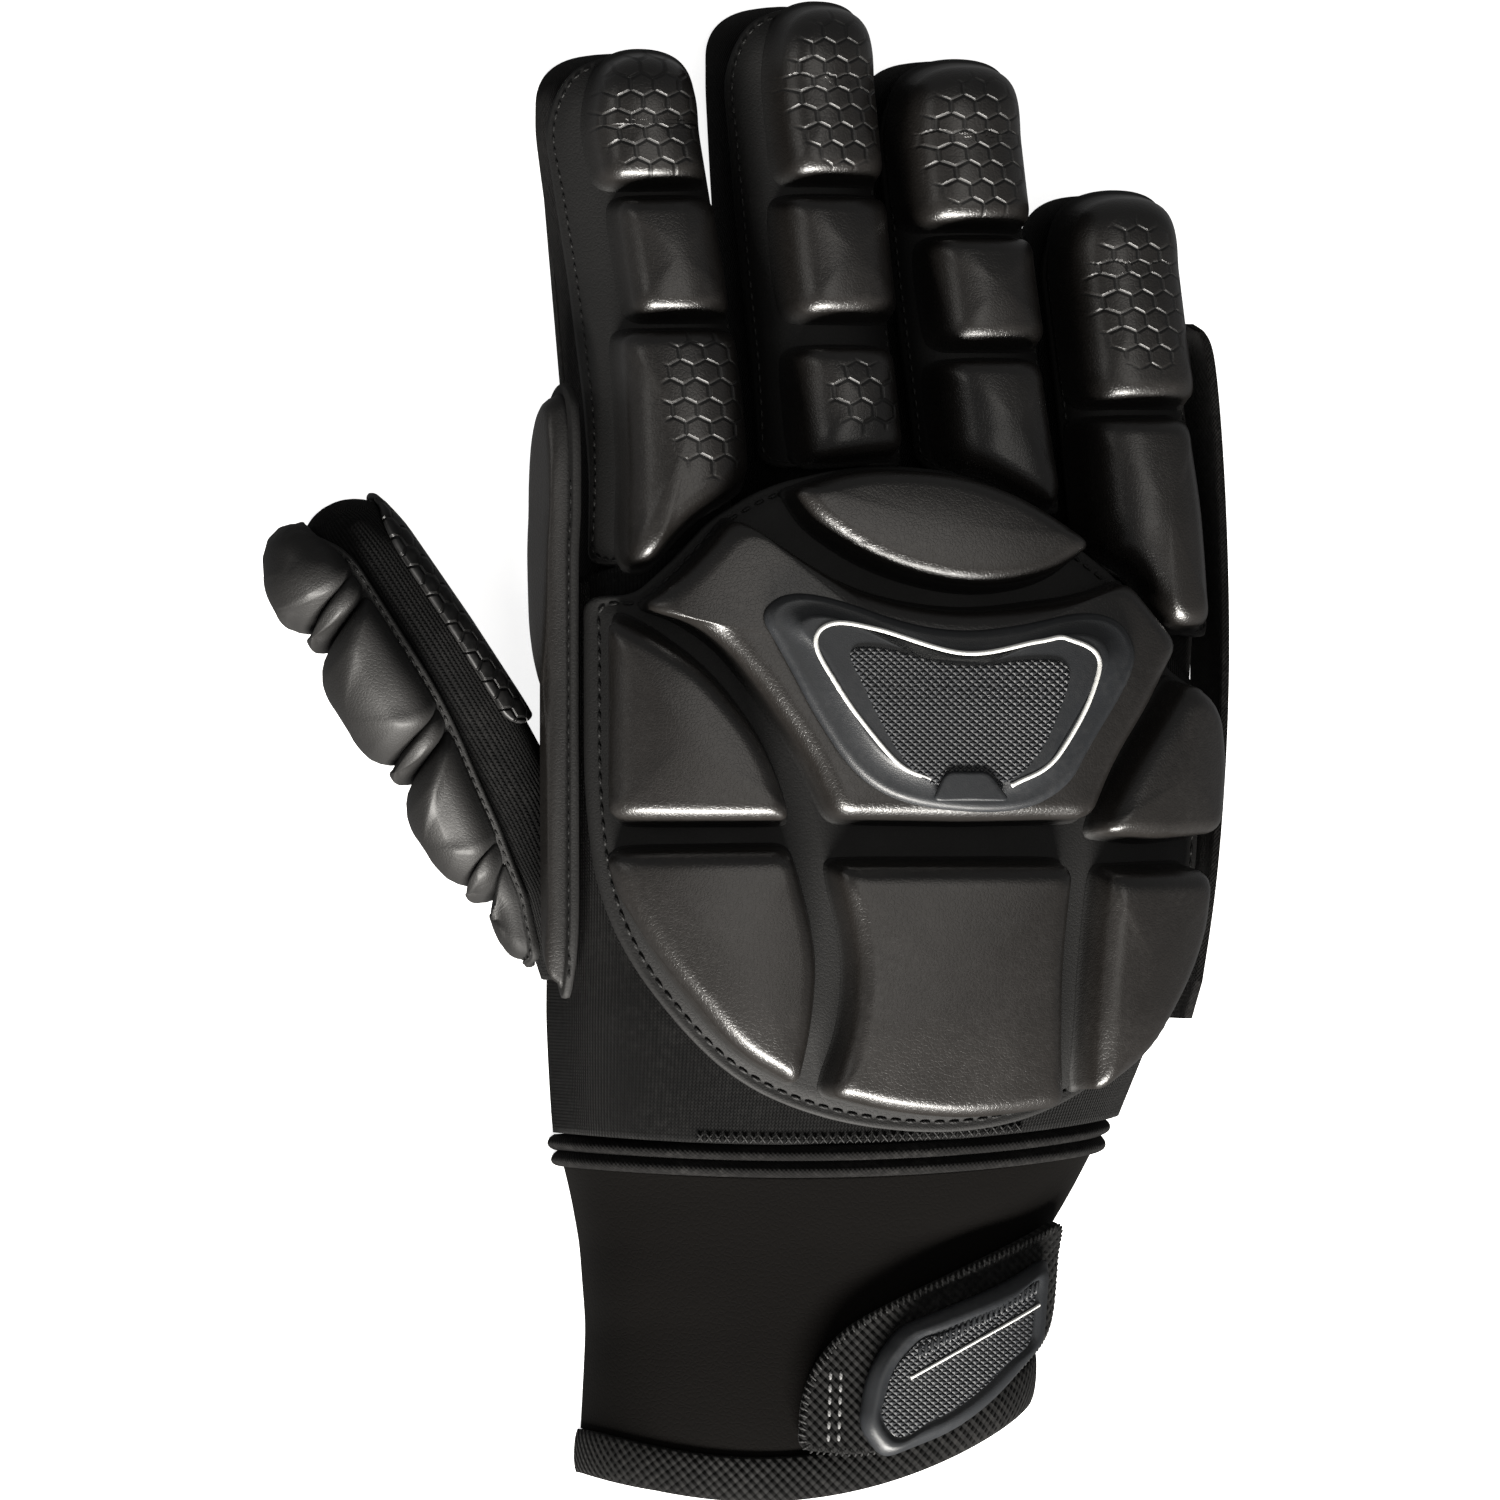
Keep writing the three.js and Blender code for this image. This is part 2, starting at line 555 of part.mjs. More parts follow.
function thumbBody(lift, from, to, steps = 8, sides = 14) {
  const rings = shares(steps).map((s) => {
    const t = THREE.MathUtils.lerp(from, to, s);
    return shares(sides).slice(0, -1).map((a) => thumbSurface((a + 0.01) * 2 * Math.PI, t, lift));
  });
  return loft(rings);
}

const halfSpace = (x, towards) => {
  const size = 400;
  const box = new THREE.BoxGeometry(size, size, size).translate(x + (towards * size) / 2, 0, 0);
  return solidOfGeometry(box);
};

const thumbRoot = Math.min(...handRows.map((row) => row.left)) - gap;

function thumbSleeve() {
  const hollow = thumbBody(-fabricWall, 3, 90);
  return thumbBody(0, 0, 94).subtract(hollow).subtract(halfSpace(thumbRoot, 1));
}

function thumbLeather() {
  const half = Math.PI * 0.36;
  const arc = [Math.PI - half, Math.PI + half].map((a) => a * thumbGirth);
  const outline = [[arc[0], 6, 9], [arc[0], 48], [arc[1], 48], [arc[1], 6, 9], [arc[1] - 12, 1.5, 6],
    [arc[0] + 12, 1.5, 6]];
  const panel = sheetOn(thumbArc, outline, 3 * gap, thumbLeatherWall, 4);
  return panel.subtract(halfSpace(thumbRoot, 1));
}

function thumbPad() {
  const { upper, rootUpper, lower } = thumbPadArc;
  const edge = 1.4;
  const upperAt = (t) => THREE.MathUtils.mapLinear(Math.max(t, 40), 40, 88, upper, rootUpper);
  const across = (t) => {
    const slant = (arc) => t + creaseSlant * (upper - arc);
    return [[upperAt(t), t], [2, slant(2), 8], [lower, slant(lower)]];
  };
  const flange = [[lower - edge, 5, 7], [lower - edge, 92], [rootUpper + edge, 90], [upperAt(66) + edge, 66, 9],
    [upper + edge, 40, 9], [upper + edge, 5, 7], [4, 0.6, 4], [-4, 0.6, 4]];
  const tipEdge = [[upper - 2, 5, 5], [3, 0.8, 5], [-3, 0.8, 5], [lower + 2, 5, 5]];
  const rootEdge = [[lower, 90], [rootUpper, 88]];
  const blocks = thumbCreases.map((crease, i) => {
    const near = i === 0 ? tipEdge : across(thumbCreases[i - 1] + 1.6);
    const far = crease < 90 ? across(crease).toReversed() : rootEdge;
    return { outline: [...near, ...far], rise: crease < 90 ? 1 : rootSegmentRise };
  });
  const steps = { flangeSteps: 3, blockSteps: 1 };
  const pad = foamPad(thumbArc, { flange, blocks, height: thumbFoam, ...steps });
  return pad.subtract(halfSpace(thumbRoot, 1));
}

// Index side: a foam strip on the steep side of the hand, shallower where the thumb passes under it
function indexSidePad() {
  const { top, front, back, step, frontDepth, backDepth, flare, seat } = sidePad;
  const wall = (y, down, lift) => {
    const outside = handSurface.at(Math.PI, Math.min(y, 40)).x;
    return new THREE.Vector3(outside - seat - flare * down - (lift - padClearance), y, top - down);
  };
  const flange = [[front, 2, 4], [front - 8, 0, 6], [back + 9, 0, 9], [back, 4], [back + 3, backDepth, 4],
    [step - 2, backDepth, 6], [step + 6, frontDepth, 8], [front - 8, frontDepth, 8], [front, frontDepth - 6, 5]];
  const rise = [[front - 2, 4], [front - 9, 2, 6], [back + 11, 2, 9], [back + 2.4, 4], [back + 5, backDepth - 0.8, 3],
    [step - 1, backDepth - 0.8, 6], [step + 7, frontDepth - 1.2, 8], [front - 9, frontDepth - 1.2, 8],
    [front - 2, frontDepth - 6, 4]];
  const blocks = [{ outline: rise }];
  return foamPad(wall, { flange, blocks, height: sideFoam, flangeSteps: 2, blockSteps: 2 });
}

// Little finger side: a flat strip on edge, following the side of the hand
function littleSideGuard() {
  const { low, high, wall } = guard;
  const line = new THREE.CatmullRomCurve3(guardLine.map(([y, x]) => new THREE.Vector3(x, y, 0)));
  const rings = shares(14).map((s) => {
    const { x, y } = line.getPointAt(s);
    const cut = s > 0.97 ? 3 : 0;
    return [[0, low + cut], [wall, low + cut], [wall, high - cut], [0, high - cut]].map(
      ([out, z]) => new THREE.Vector3(x + out, y, z),
    );
  });
  return loft(rings);
}

// Cuff, hem and wrist seam: closed tubes with a flat underside on the ground
const cuffSurface = arch(cuffRows, 0, { leftPower: 2.7, rightPower: 2.3 });
const seamEnd = (x) => wristLine(x) - seam.width;
const hemTop = (x) => hemLine(x) + hem.width;

function tube(surface, stations, wall, innerStations = stations) {
  const past = (line, by) => (x) => line(x) + by;
  const inner = innerStations.map(({ line }, i) => {
    const by = i === 0 ? 2 : Number(i === innerStations.length - 1) * -2;
    return { line: past(line, by), lift: -wall, floor: wall };
  });
  return archBody(surface, stations).subtract(archBody(surface, inner));
}

function cuffTube() {
  const from = (x) => seamEnd(x) - gap;
  const to = (x) => hemTop(x) + gap;
  return tube(cuffSurface, shares(5).map((s) => ({ line: blend(from, to, s), floor: 0 })), cuffWall);
}

function hemTube() {
  const profile = [[0, 0.1], [0.15, 1], [0.85, 1], [1, 0.1]];
  const stations = profile.map(([s, roll]) => (
    { line: blend(hemTop, hemLine, s), lift: hem.roll * roll, floor: 0 }));
  return tube(cuffSurface, stations, cuffWall, [stations[0], stations.at(-1)]);
}

function wristSeam() {
  const profile = [[0, 0.2], [0.14, 0.85], [0.28, 1], [0.46, 0.45], [0.54, 0.45], [0.72, 1], [0.86, 0.85],
    [1, 0.2]];
  const stations = profile.map(([s, roll]) => (
    { line: blend(wristLine, seamEnd, s), lift: seam.roll * roll, floor: 0 }));
  return tube(cuffSurface, stations, seam.wall, [stations[0], stations.at(-1)]);
}

// Assembly
addPart('palm_panel', palmPanel(), 'leather');
const thumbHole = thumbBody(-fabricWall, 20, 90);
addPart('hand_sleeve', handSleeve().subtract(thumbHole), 'fabric');
for (const finger of fingers) {
  const surface = fingerSurface(finger);
  addPart(`${finger.name}_sleeve`, fingerSleeve(surface, finger), 'fabric');
  addPart(`${finger.name}_pad`, fingerPad(surface, finger), 'foam');
}
addPart('back_pad', backPad(), 'foam');
const badgeLift = padClearance + backFoam * 1.06 + gap;
addPart('back_badge', sheetOn(handSurface.above, badge.outline, badgeLift, badge.thickness), 'rubber');
addPart('thumb_sleeve', thumbSleeve(), 'fabric');
addPart('thumb_leather', thumbLeather(), 'leather');
addPart('thumb_pad', thumbPad(), 'foam');
addPart('index_side_pad', indexSidePad(), 'foam');
addPart('little_side_guard', littleSideGuard(), 'fabric');
addPart('wrist_seam', wristSeam(), 'fabric');
addPart('cuff', cuffTube(), 'neoprene');
addPart('cuff_hem', hemTube(), 'webbing');
const strapLift = hem.roll + 3 * gap;
addPart('strap', sheetOn(cuffSurface.above, strap.outline, strapLift, strap.wall), 'webbing');
addPart('strap_tab', sheetOn(cuffSurface.above, tab.outline, strapLift + strap.wall + 2 * gap, tab.wall), 'rubber');
glove.position.set(centring.x, centring.y, 0);

export default glove;
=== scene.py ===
# %% [markdown]
# # An indoor hockey glove, piece by piece
# The glove lies palm down on a pale floor. It has a flat leather palm, stretch fabric on the back,
# thick moulded foam pads, and a neoprene cuff with a strap. The solids of the CAD model are the frame:
# every piece made here takes the place of one of them, in the same coordinates.

# %% Load the frame
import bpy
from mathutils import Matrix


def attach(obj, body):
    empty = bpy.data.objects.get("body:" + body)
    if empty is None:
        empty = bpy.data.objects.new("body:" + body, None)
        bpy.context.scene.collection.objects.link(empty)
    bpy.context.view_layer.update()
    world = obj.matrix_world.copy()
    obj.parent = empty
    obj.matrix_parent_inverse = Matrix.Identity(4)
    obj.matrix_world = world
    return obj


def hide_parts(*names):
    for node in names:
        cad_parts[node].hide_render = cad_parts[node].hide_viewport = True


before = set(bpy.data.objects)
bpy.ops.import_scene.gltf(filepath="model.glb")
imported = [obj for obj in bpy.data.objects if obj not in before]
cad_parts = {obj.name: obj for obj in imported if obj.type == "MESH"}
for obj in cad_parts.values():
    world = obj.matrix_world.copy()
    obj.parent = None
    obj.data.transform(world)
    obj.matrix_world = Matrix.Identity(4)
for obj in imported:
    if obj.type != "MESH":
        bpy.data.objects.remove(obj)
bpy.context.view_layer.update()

from types import SimpleNamespace

import bpy
import numpy as np
from mathutils import Matrix, Vector

print("solids:", sorted(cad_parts))

# %% [markdown]
# ## Sizes
# A glove is drawn in millimetres. X runs towards the little finger, Y towards the fingertips and
# Z up from the palm. The tables give each part in cross-sections, and everything between two rows is
# worked out, which keeps the drawing short and easy to change.

# %% Sizes and tables
MM = 0.001
CENTRE = np.array([1.63, 0.37, 0.0])
SEAT = 1.7                             # the fabric's foot stands on the palm leather
FABRIC, CUFF_WALL, SEAM_WALL = 1.5, 2.5, 1.8
FLANGE_LOW, FLANGE_TOP = 0.35, 2.5     # lifts of a pad's pressed edge off the fabric
BLOCK_FOOT = 1.65
FINGER_TOP, BACK_TOP = 9.4, 10.4       # lifts of the blocks' tops
TIP_ROUND = 9.0                        # length over which a fingertip closes
SEAM_WIDTH, SEAM_ROLL, HEM_WIDTH = 5.4, 1.75, 7.5


def table(columns, rows):
    """Rows of numbers as named columns."""
    return dict(zip(columns.split(), np.array(rows, float).T))


HAND_ROWS = table("y left right top", [
    (-72, -31, 65, 27.5), (-64, -32, 67, 29), (-45, -33, 75, 32.5), (-20, -33, 79, 34.5),
    (10, -33, 81, 34.5), (34, -33, 81, 33), (50, -32, 80, 31)])
CUFF_ROWS = table("y left right top", [
    (-128, -27, 50, 23), (-114, -26.4, 52, 24), (-98, -25.8, 53, 24.5), (-84, -26.8, 54.5, 25.5),
    (-76, -28.4, 59.5, 26.5), (-66, -31, 65, 28)])
THUMB_ROWS = table("t x y half mid rise", [
    (0, -74.8, 41.5, 4.5, 12, 5), (3, -73.2, 39, 7, 12.2, 7), (10, -69.2, 33.2, 8.2, 12.4, 8.4),
    (30, -58.2, 16.8, 8.8, 12.2, 8.8), (48, -48, 2.2, 9, 10.4, 7.2), (62, -40, -10.2, 8.4, 9.6, 6.4),
    (76, -34, -22.8, 7, 9.2, 6.2), (96, -31.8, -42.6, 2.4, 8.8, 5.6)])
FINGERS = {
    "index": SimpleNamespace(
        tip=118.4, lean=-0.07, left=11.2, right=11,
        rows=[(24, -17.2, 13.2, 29), (46, -16.8, 13, 28.5), (60, -17.2, 12.4, 27), (80, -19.2, 12.2, 24),
              (105, -22.8, 12.2, 20.5)],
        hem=[(-12, 30.6), (-4.6, 31.4), (0, 37), (12, 45.4)],
        blocks=[[(-6, 95.5), (8.6, 95.5), (8.6, 111.5, 8), (5.2, 117, 6), (-2.6, 117, 6),
                 (-6, 111.5, 8)],
                [(-4.8, 73), (9.2, 73), (9.2, 92), (-4.8, 92)],
                [(-6.6, 69.5), (9.8, 69.5), (11, 47.5), (-1, 38.4, 6), (-4.4, 32.2), (-7.2, 31.8)]],
        emboss=[(1, 107, 7, 11), None, (3.5, 58, 6, 12)]),
    "middle": SimpleNamespace(
        tip=126.8, lean=0.06, left=10.6, right=10.4,
        rows=[(24, 13.5, 12.8, 29.5), (46, 12, 12.5, 29), (60, 11, 12.5, 27.5), (84, 9.2, 12.3, 24),
              (113, 7.2, 12.2, 20.5)],
        hem=[(-12, 47.8), (12, 47.8)],
        blocks=[[(-5.2, 96.5), (9.6, 96.5), (9.6, 120.5, 8), (6.2, 125.5, 6), (-1.8, 125.5, 6),
                 (-5.2, 120.5, 8)],
                [(-6, 73), (9.6, 73), (9.6, 92.5), (-6, 92.5)],
                [(-6.4, 48.8), (7.2, 50), (7.2, 66.8), (-6.4, 66.8)]],
        emboss=[(2, 111, 7, 13), None, (1, 58.5, 5, 6)]),
    "ring": SimpleNamespace(
        tip=117.8, lean=0.06, left=10.2, right=10.2,
        rows=[(24, 41.5, 12.6, 28.5), (40, 40.5, 12.2, 28), (60, 38, 12, 26), (80, 36, 11.8, 23),
              (104, 34, 11.8, 20)],
        hem=[(-12, 48), (-8, 47.8), (7, 39.6), (12, 39.6)],
        blocks=[[(-8, 89), (8.8, 89), (8.8, 111, 8), (5.2, 116, 6), (-4.4, 116, 6), (-8, 111, 8)],
                [(-6.5, 68.5), (8.5, 68.5), (8.5, 85.8), (-6.5, 85.8)],
                [(-7.2, 49.4), (5, 41, 4), (6.8, 43), (6.6, 64.8), (-7.2, 64.8)]],
        emboss=[(0.5, 102, 7.5, 12), None, None]),
    "little": SimpleNamespace(
        tip=95.2, lean=0.1, left=9.8, right=9.6,
        rows=[(6, 69, 10.6, 20), (20, 69, 11.2, 22.5), (38, 66.5, 11.8, 24), (60, 64.5, 11.8, 22),
              (82, 62.6, 11.4, 19)],
        hem=[(-12, 33.4), (-5, 30), (0.6, 19.4), (12, 19.4)],
        blocks=[[(-7.6, 59.2), (8.4, 59.2), (8.4, 89, 8), (5, 94, 6), (-4.2, 94, 6), (-7.6, 89, 8)],
                [(-8, 55.4), (6.2, 55.4), (7, 38.8, 9), (6, 21.8), (0.2, 21.8), (-4, 32, 6), (-8, 35.4)]],
        emboss=[(0.5, 77, 7, 13), None]),
}
BACK_FLANGE = [
    (-30.5, 26), (-24.6, 26), (-19.8, 31), (-13, 38.4), (-3.4, 44.4, 9), (9, 47.2), (25, 47.2), (38, 43.8, 9),
    (51.6, 34.2), (58, 29.6), (66, 21, 9), (68, 14), (75.6, 10), (77.2, -6, 20), (75.6, -28, 20),
    (69, -44, 12), (58, -55.6, 14), (44, -62.6, 14), (28, -65, 14), (8, -62.6, 14), (-9, -55.6, 14),
    (-22.6, -41, 14), (-29, -26, 14), (-30.6, -8, 12)]
BACK_BLOCKS = {
    "lens": [(0.4, 42.8, 2), (12, 46.2, 9), (27, 45.8, 9), (39, 42, 9), (50.8, 34.2, 2), (43, 28.8, 9),
             (30.6, 27, 9), (15.6, 30.4, 9), (4, 37.2, 5)],
    "saddle": [(-9.2, 38), (2, 30.8, 9), (12.4, 24.8, 9), (29.2, 22, 9), (46.2, 24.2, 9), (57, 28),
               (65.4, 17.6), (60, 7.8, 9), (54, -1.8, 9), (50.2, -11.2), (28.8, -11.6), (6.8, -11.2),
               (2.2, -1.2, 9), (-5.4, 10.2, 9), (-13.4, 20, 9), (-22.6, 23.4), (-17.2, 28.6)],
    "left_upper": [(-26, 21.8), (-21.8, 18.8, 5), (-13.8, 12, 9), (-5.8, 1.2, 9), (-1.2, -11.6),
                   (-26, -11.6)],
    "left_lower": [(-26.4, -17.4), (-1.2, -17), (3.4, -32.6, 9), (3, -43.6, 9), (1, -55.2),
                   (-9.4, -49.2, 9), (-19, -37.2, 9), (-25, -24.8, 9)],
    "centre_lower": [(6.8, -19.4), (47, -19.4), (45.6, -34.8, 9), (45.6, -46.2, 9), (46.6, -58.4),
                     (31.2, -60.8, 9), (18, -59.6, 9), (6.8, -56.8), (10.4, -46.2, 9), (10.8, -33.8, 9)],
    "right_upper": [(68, 11.4), (73, 7.8, 4), (74.4, -2.6, 9), (73, -13.6), (62.4, -14.6), (52.8, -13.8),
                    (56, -7.2, 9), (62, 2.6, 9)],
    "right_lower": [(54, -20.6), (71.4, -20), (71, -29.4, 9), (66.8, -40.8, 9), (60.4, -49.8, 9),
                    (52.2, -56.2), (52.6, -38, 9)],
}
BADGE = [(-6.6, 22.4, 3), (-2.4, 26, 5), (5, 25.2, 9), (18, 20.6, 9), (28, 19.2, 9), (38, 20.4, 9),
         (48, 23, 9), (54.4, 21.4, 4), (57, 14.6, 5), (48.6, 1, 9), (45, -6.4, 8), (36.4, -11, 9),
         (18, -9.6, 9), (8.6, -4.4, 9), (0.8, 8, 9)]
STRAP = [(4.6, -118.4), (5, -108, 6), (10.6, -99, 7), (20, -93.6, 9), (46, -82.4, 9), (52.6, -79),
         (52.4, -98, 6), (36, -112.6, 9), (17, -119.6, 5)]
TAB = [(14.4, -114.4), (15.8, -104.6, 5), (21.4, -97.4), (40.2, -90.2, 9), (47.8, -85.6), (47, -101),
       (34.4, -114, 9), (18.6, -120)]
print("fingers:", ", ".join(FINGERS))


def knuckle_line(x):
    """Y of the finger roots: a shallow arc, highest near the middle finger."""
    return 36 - 0.0053 * (x - 8) ** 2


def wrist_line(x):
    """Y of the wrist seam: a slight smile."""
    return -67 + 4.3 * ((x - 6) / 60) ** 2


def hem_line(x):
    """Y of the cuff's lower edge."""
    return -127.4 + 0.0064 * (x + 1) ** 2


# %% [markdown]
# ## From a cross-section to a surface
# Fabric on a hand is a low arch. A superellipse (a circle whose power is above 2) has the flat top and
# square shoulders of a real hand, and one formula covers the hand, the fingers and the cuff. A pad then
# needs only one more number, its lift: how far a point stands off that arch along the surface's normal.

# %% Surfaces
def between(rows, key, place, blur=4.0):
    """Columns of a table at a place: straight runs between rows, averaged over a few millimetres."""
    offsets = np.linspace(-1, 1, 7)
    weights = 1.1 - np.abs(offsets)
    weights /= weights.sum()
    return {c: sum(w * np.interp(place + blur * o, rows[key], v) for o, w in zip(offsets, weights))
            for c, v in rows.items() if c != key}


def lifted(point, step=0.02):
    """A surface from a point formula: the cross product of its two slopes is the normal to lift along."""
    def surface(a, b, lift=0.0):
        a, b, lift = np.broadcast_arrays(np.asarray(a, float), b, lift)
        slope_a = point(a + step, b) - point(a - step, b)
        slope_b = point(a, b + step) - point(a, b - step)
        normal = np.cross(slope_b, slope_a)
        normal /= np.linalg.norm(normal, axis=-1, keepdims=True) + 1e-12
        return point(a, b) + normal * lift[..., None]
    return surface


def arch(rows, base, left_power, right_power, lean=0.0, blur=4.0):
    """x = middle + half cos^(2/p), z = base + height sin^(2/p), with the power p of each side."""
    def section(y):
        row = between(rows, "y", y, blur)
        return (row["left"] + row["right"]) / 2, (row["right"] - row["left"]) / 2, row["top"]

    def point(angle, y):
        middle, half, top = section(y)
        side = np.cos(angle)
        power = np.where(side < 0, left_power, right_power)
        across = np.sign(side) * np.abs(side) ** (2 / power)
        up = np.maximum(0, np.sin(angle)) ** (2 / power)
        height = (top - base) * up * (1 - lean * across)
        return np.stack([middle + half * across, y + 0 * angle, base + height], -1)

    def angle_of(x, y):
        middle, half, _ = section(y)
        across = np.clip((x - middle) / half, -0.998, 0.998)
        power = np.where(across < 0, left_power, right_power)
        return np.arccos(np.sign(across) * np.abs(across) ** (power / 2))

    on = lifted(point)
    return SimpleNamespace(point=point, on=on, section=section, angle_of=angle_of,
                           over=lambda x, y, lift=0.0: on(angle_of(x, y), y, lift))


def even_angles(surface, y, count):
    """Angles that cut the arch at y into steps of equal length."""
    fine = np.linspace(0, np.pi, 4001)
    points = surface.point(fine, np.full_like(fine, y))
    way = np.r_[0, np.cumsum(np.linalg.norm(np.diff(points, axis=0), axis=1))]
    return np.interp(np.linspace(0, way[-1], count), way, fine), way[-1]


HAND = arch(HAND_ROWS, SEAT, 4, 2.4)
CUFF = arch(CUFF_ROWS, 0, 2.7, 2.3)
print("hand girth at the knuckles: %.0f mm" % even_angles(HAND, 20, 9)[1])


# %% [markdown]
# ## Surfaces for fingers, thumb and sides
# A finger is a smaller arch that closes at its tip. The thumb is a tube round a slanted axis, since it lies
# beside the hand, and the hand's sides are steep strips. Each gets a function of two numbers and a lift, so
# the pads, cloth and stitches further down don't need to know which part of the hand they are on.

# %% Finger, thumb and side surfaces
def finger_surface(finger):
    """The finger's arch, its end rounded by a superellipse, and a foam surface that rises straight."""
    y, x, half, top = np.array(finger.rows, float).T
    rows = dict(y=y, left=x - half, right=x + half, top=top)
    plain = arch(rows, SEAT, 2.5, 2.5, finger.lean, 3.0)

    def point(angle, y):
        share = np.clip((y - (finger.tip - TIP_ROUND)) / TIP_ROUND, 0, 1)
        close = (1 - share ** 2.4) ** (1 / 2.4)
        body = plain.point(angle, y)
        middle = plain.section(y)[0]
        body[..., 0] = middle + (body[..., 0] - middle) * close
        body[..., 2] = SEAT + (body[..., 2] - SEAT) * (0.25 + 0.75 * close)
        return body

    on = lifted(point)

    def over(across, y, lift=0.0):
        across, y, lift = np.broadcast_arrays(np.asarray(across, float), y, lift)
        tipward = np.minimum(y, finger.tip - 2)
        middle = plain.section(tipward)[0]
        foot = plain.on(plain.angle_of(middle + across, tipward), tipward, np.minimum(lift, FLANGE_TOP))
        crest = np.full_like(across, np.pi / 2)
        rise = plain.on(crest, tipward, 1.0) - plain.point(crest, tipward)
        foot[..., 1] += y - tipward
        drop = np.clip((y - (finger.tip - 10)) / 10, 0, 1.2) ** 2 * 3.0
        foot[..., 2] -= drop
        return foot + rise * np.maximum(0, lift - FLANGE_TOP)[..., None]

    return SimpleNamespace(point=point, on=on, over=over)


def thumb_point(angle, t):
    """A superellipse round the thumb's axis, which runs slantwise beside the hand."""
    row, ahead, behind = (between(THUMB_ROWS, "t", t + d, 3.0) for d in (0, 6, -6))
    way_x, way_y = ahead["x"] - behind["x"], ahead["y"] - behind["y"]
    long = np.hypot(way_x, way_y)
    power = 2 / 2.3
    tip = np.clip(1 - t / 5.0, 0, 1)
    close = np.sqrt(np.maximum(1 - tip ** 2, 0))
    out = row["half"] * close * np.sign(np.cos(angle)) * np.abs(np.cos(angle)) ** power
    up = row["rise"] * close * np.sign(np.sin(angle)) * np.abs(np.sin(angle)) ** power
    return np.stack([row["x"] + way_y / long * out, row["y"] - way_x / long * out, row["mid"] + up], -1)


THUMB_GIRTH = 8.5
thumb_on = lifted(thumb_point)


def thumb_over(arc, t, lift=0.0):
    """The thumb's surface by the way round it in millimetres; 0 faces out."""
    return thumb_on(np.asarray(arc, float) / THUMB_GIRTH, t, lift)


SIDE_TOP = 25.0


def side_over(y, down, lift=0.0):
    """The steep index side of the hand: y along it, down from its top edge."""
    y, down, lift = np.broadcast_arrays(np.asarray(y, float), down, lift)
    wall = HAND.point(np.full_like(y, np.pi), np.minimum(y, 40))[..., 0]
    return np.stack([wall - 0.6 - 0.12 * down - (lift - 1.4), y, SIDE_TOP - down], -1)


def flat_over(x, y, lift=0.0):
    """The plane of the palm."""
    return np.stack(np.broadcast_arrays(np.asarray(x, float), y, lift), -1)


for name, finger in FINGERS.items():
    finger.surface = finger_surface(finger)
print("thumb tip at", np.round(thumb_over(0, 6), 1))

# %% [markdown]
# ## From a drawn outline to a body
# Every pad, patch and tab starts as an outline drawn flat. Its corners are rounded with a curve, the
# outline is cut into even steps, and a profile is then carried round it: foot, wall, round shoulder and
# crowned top. This is what a heated mould does to a sheet of foam, so the shapes come out alike.


# %% Outlines
def rounded(outline, radius=2.4, count=220):
    """Corners become curves whose ends lie a radius from the corner, then count even steps all round."""
    corners = np.array([p[:2] for p in outline], float)
    radii = np.array([p[2] if len(p) > 2 else radius for p in outline], float)
    runs = []
    for i, corner in enumerate(corners):
        before, after = corners[i - 1] - corner, corners[(i + 1) % len(corners)] - corner
        a, b = (corner + w * min(radii[i] / np.linalg.norm(w), 0.48) for w in (before, after))
        s = np.linspace(0, 1, 13)[:, None]
        runs.append((1 - s) ** 2 * a + 2 * s * (1 - s) * corner + s ** 2 * b)
    return resampled(np.vstack(runs), count)


def resampled(path, count, closed=True):
    """Points at even steps along a path."""
    path = np.vstack([path, path[:1]]) if closed else np.asarray(path, float)
    way = np.r_[0, np.cumsum(np.linalg.norm(np.diff(path, axis=0), axis=1))]
    keep = np.r_[True, np.diff(way) > 1e-9]
    places = np.linspace(0, way[-1], count + 1)[:-1] if closed else np.linspace(0, way[-1], count)
    return np.stack([np.interp(places, way[keep], column[keep]) for column in path.T], -1)


def smoothed(values, span):
    """A closed row of values averaged over span neighbours on each side."""
    kernel = np.hanning(2 * span + 3)[1:-1]
    wide = np.pad(values, (span, span), mode="wrap")
    return np.convolve(wide, kernel / kernel.sum(), mode="valid")


def inward(outline):
    """For each point the way to move in by one millimetre: towards the middle, steeper past corners."""
    middle = outline.mean(0)
    tangent = np.roll(outline, -1, 0) - np.roll(outline, 1, 0)
    normal = np.stack([-tangent[:, 1], tangent[:, 0]], -1)
    normal /= np.linalg.norm(normal, axis=1, keepdims=True) + 1e-12
    way = middle - outline
    distance = np.linalg.norm(way, axis=1)
    unit = way / distance[:, None]
    slant = np.abs((unit * normal).sum(1))
    step = np.linalg.norm(tangent, axis=1).mean() / 2
    stretch = smoothed(1 / np.clip(slant, 0.42, 1), max(1, int(5 / step)))
    return unit * stretch[:, None], distance / stretch, middle


print("a rounded square has", len(rounded([(0, 0), (9, 0), (9, 9), (0, 9)])), "points")

# %% [markdown]
# A body is rings of points, one inside or above another. Joined, they make four-cornered faces, and a fan
# of triangles closes each end. A bevel on a flat shape could do the shoulder of a pad, but rings let every
# pad have its own profile, and they give the leather's pattern even faces to lie on.

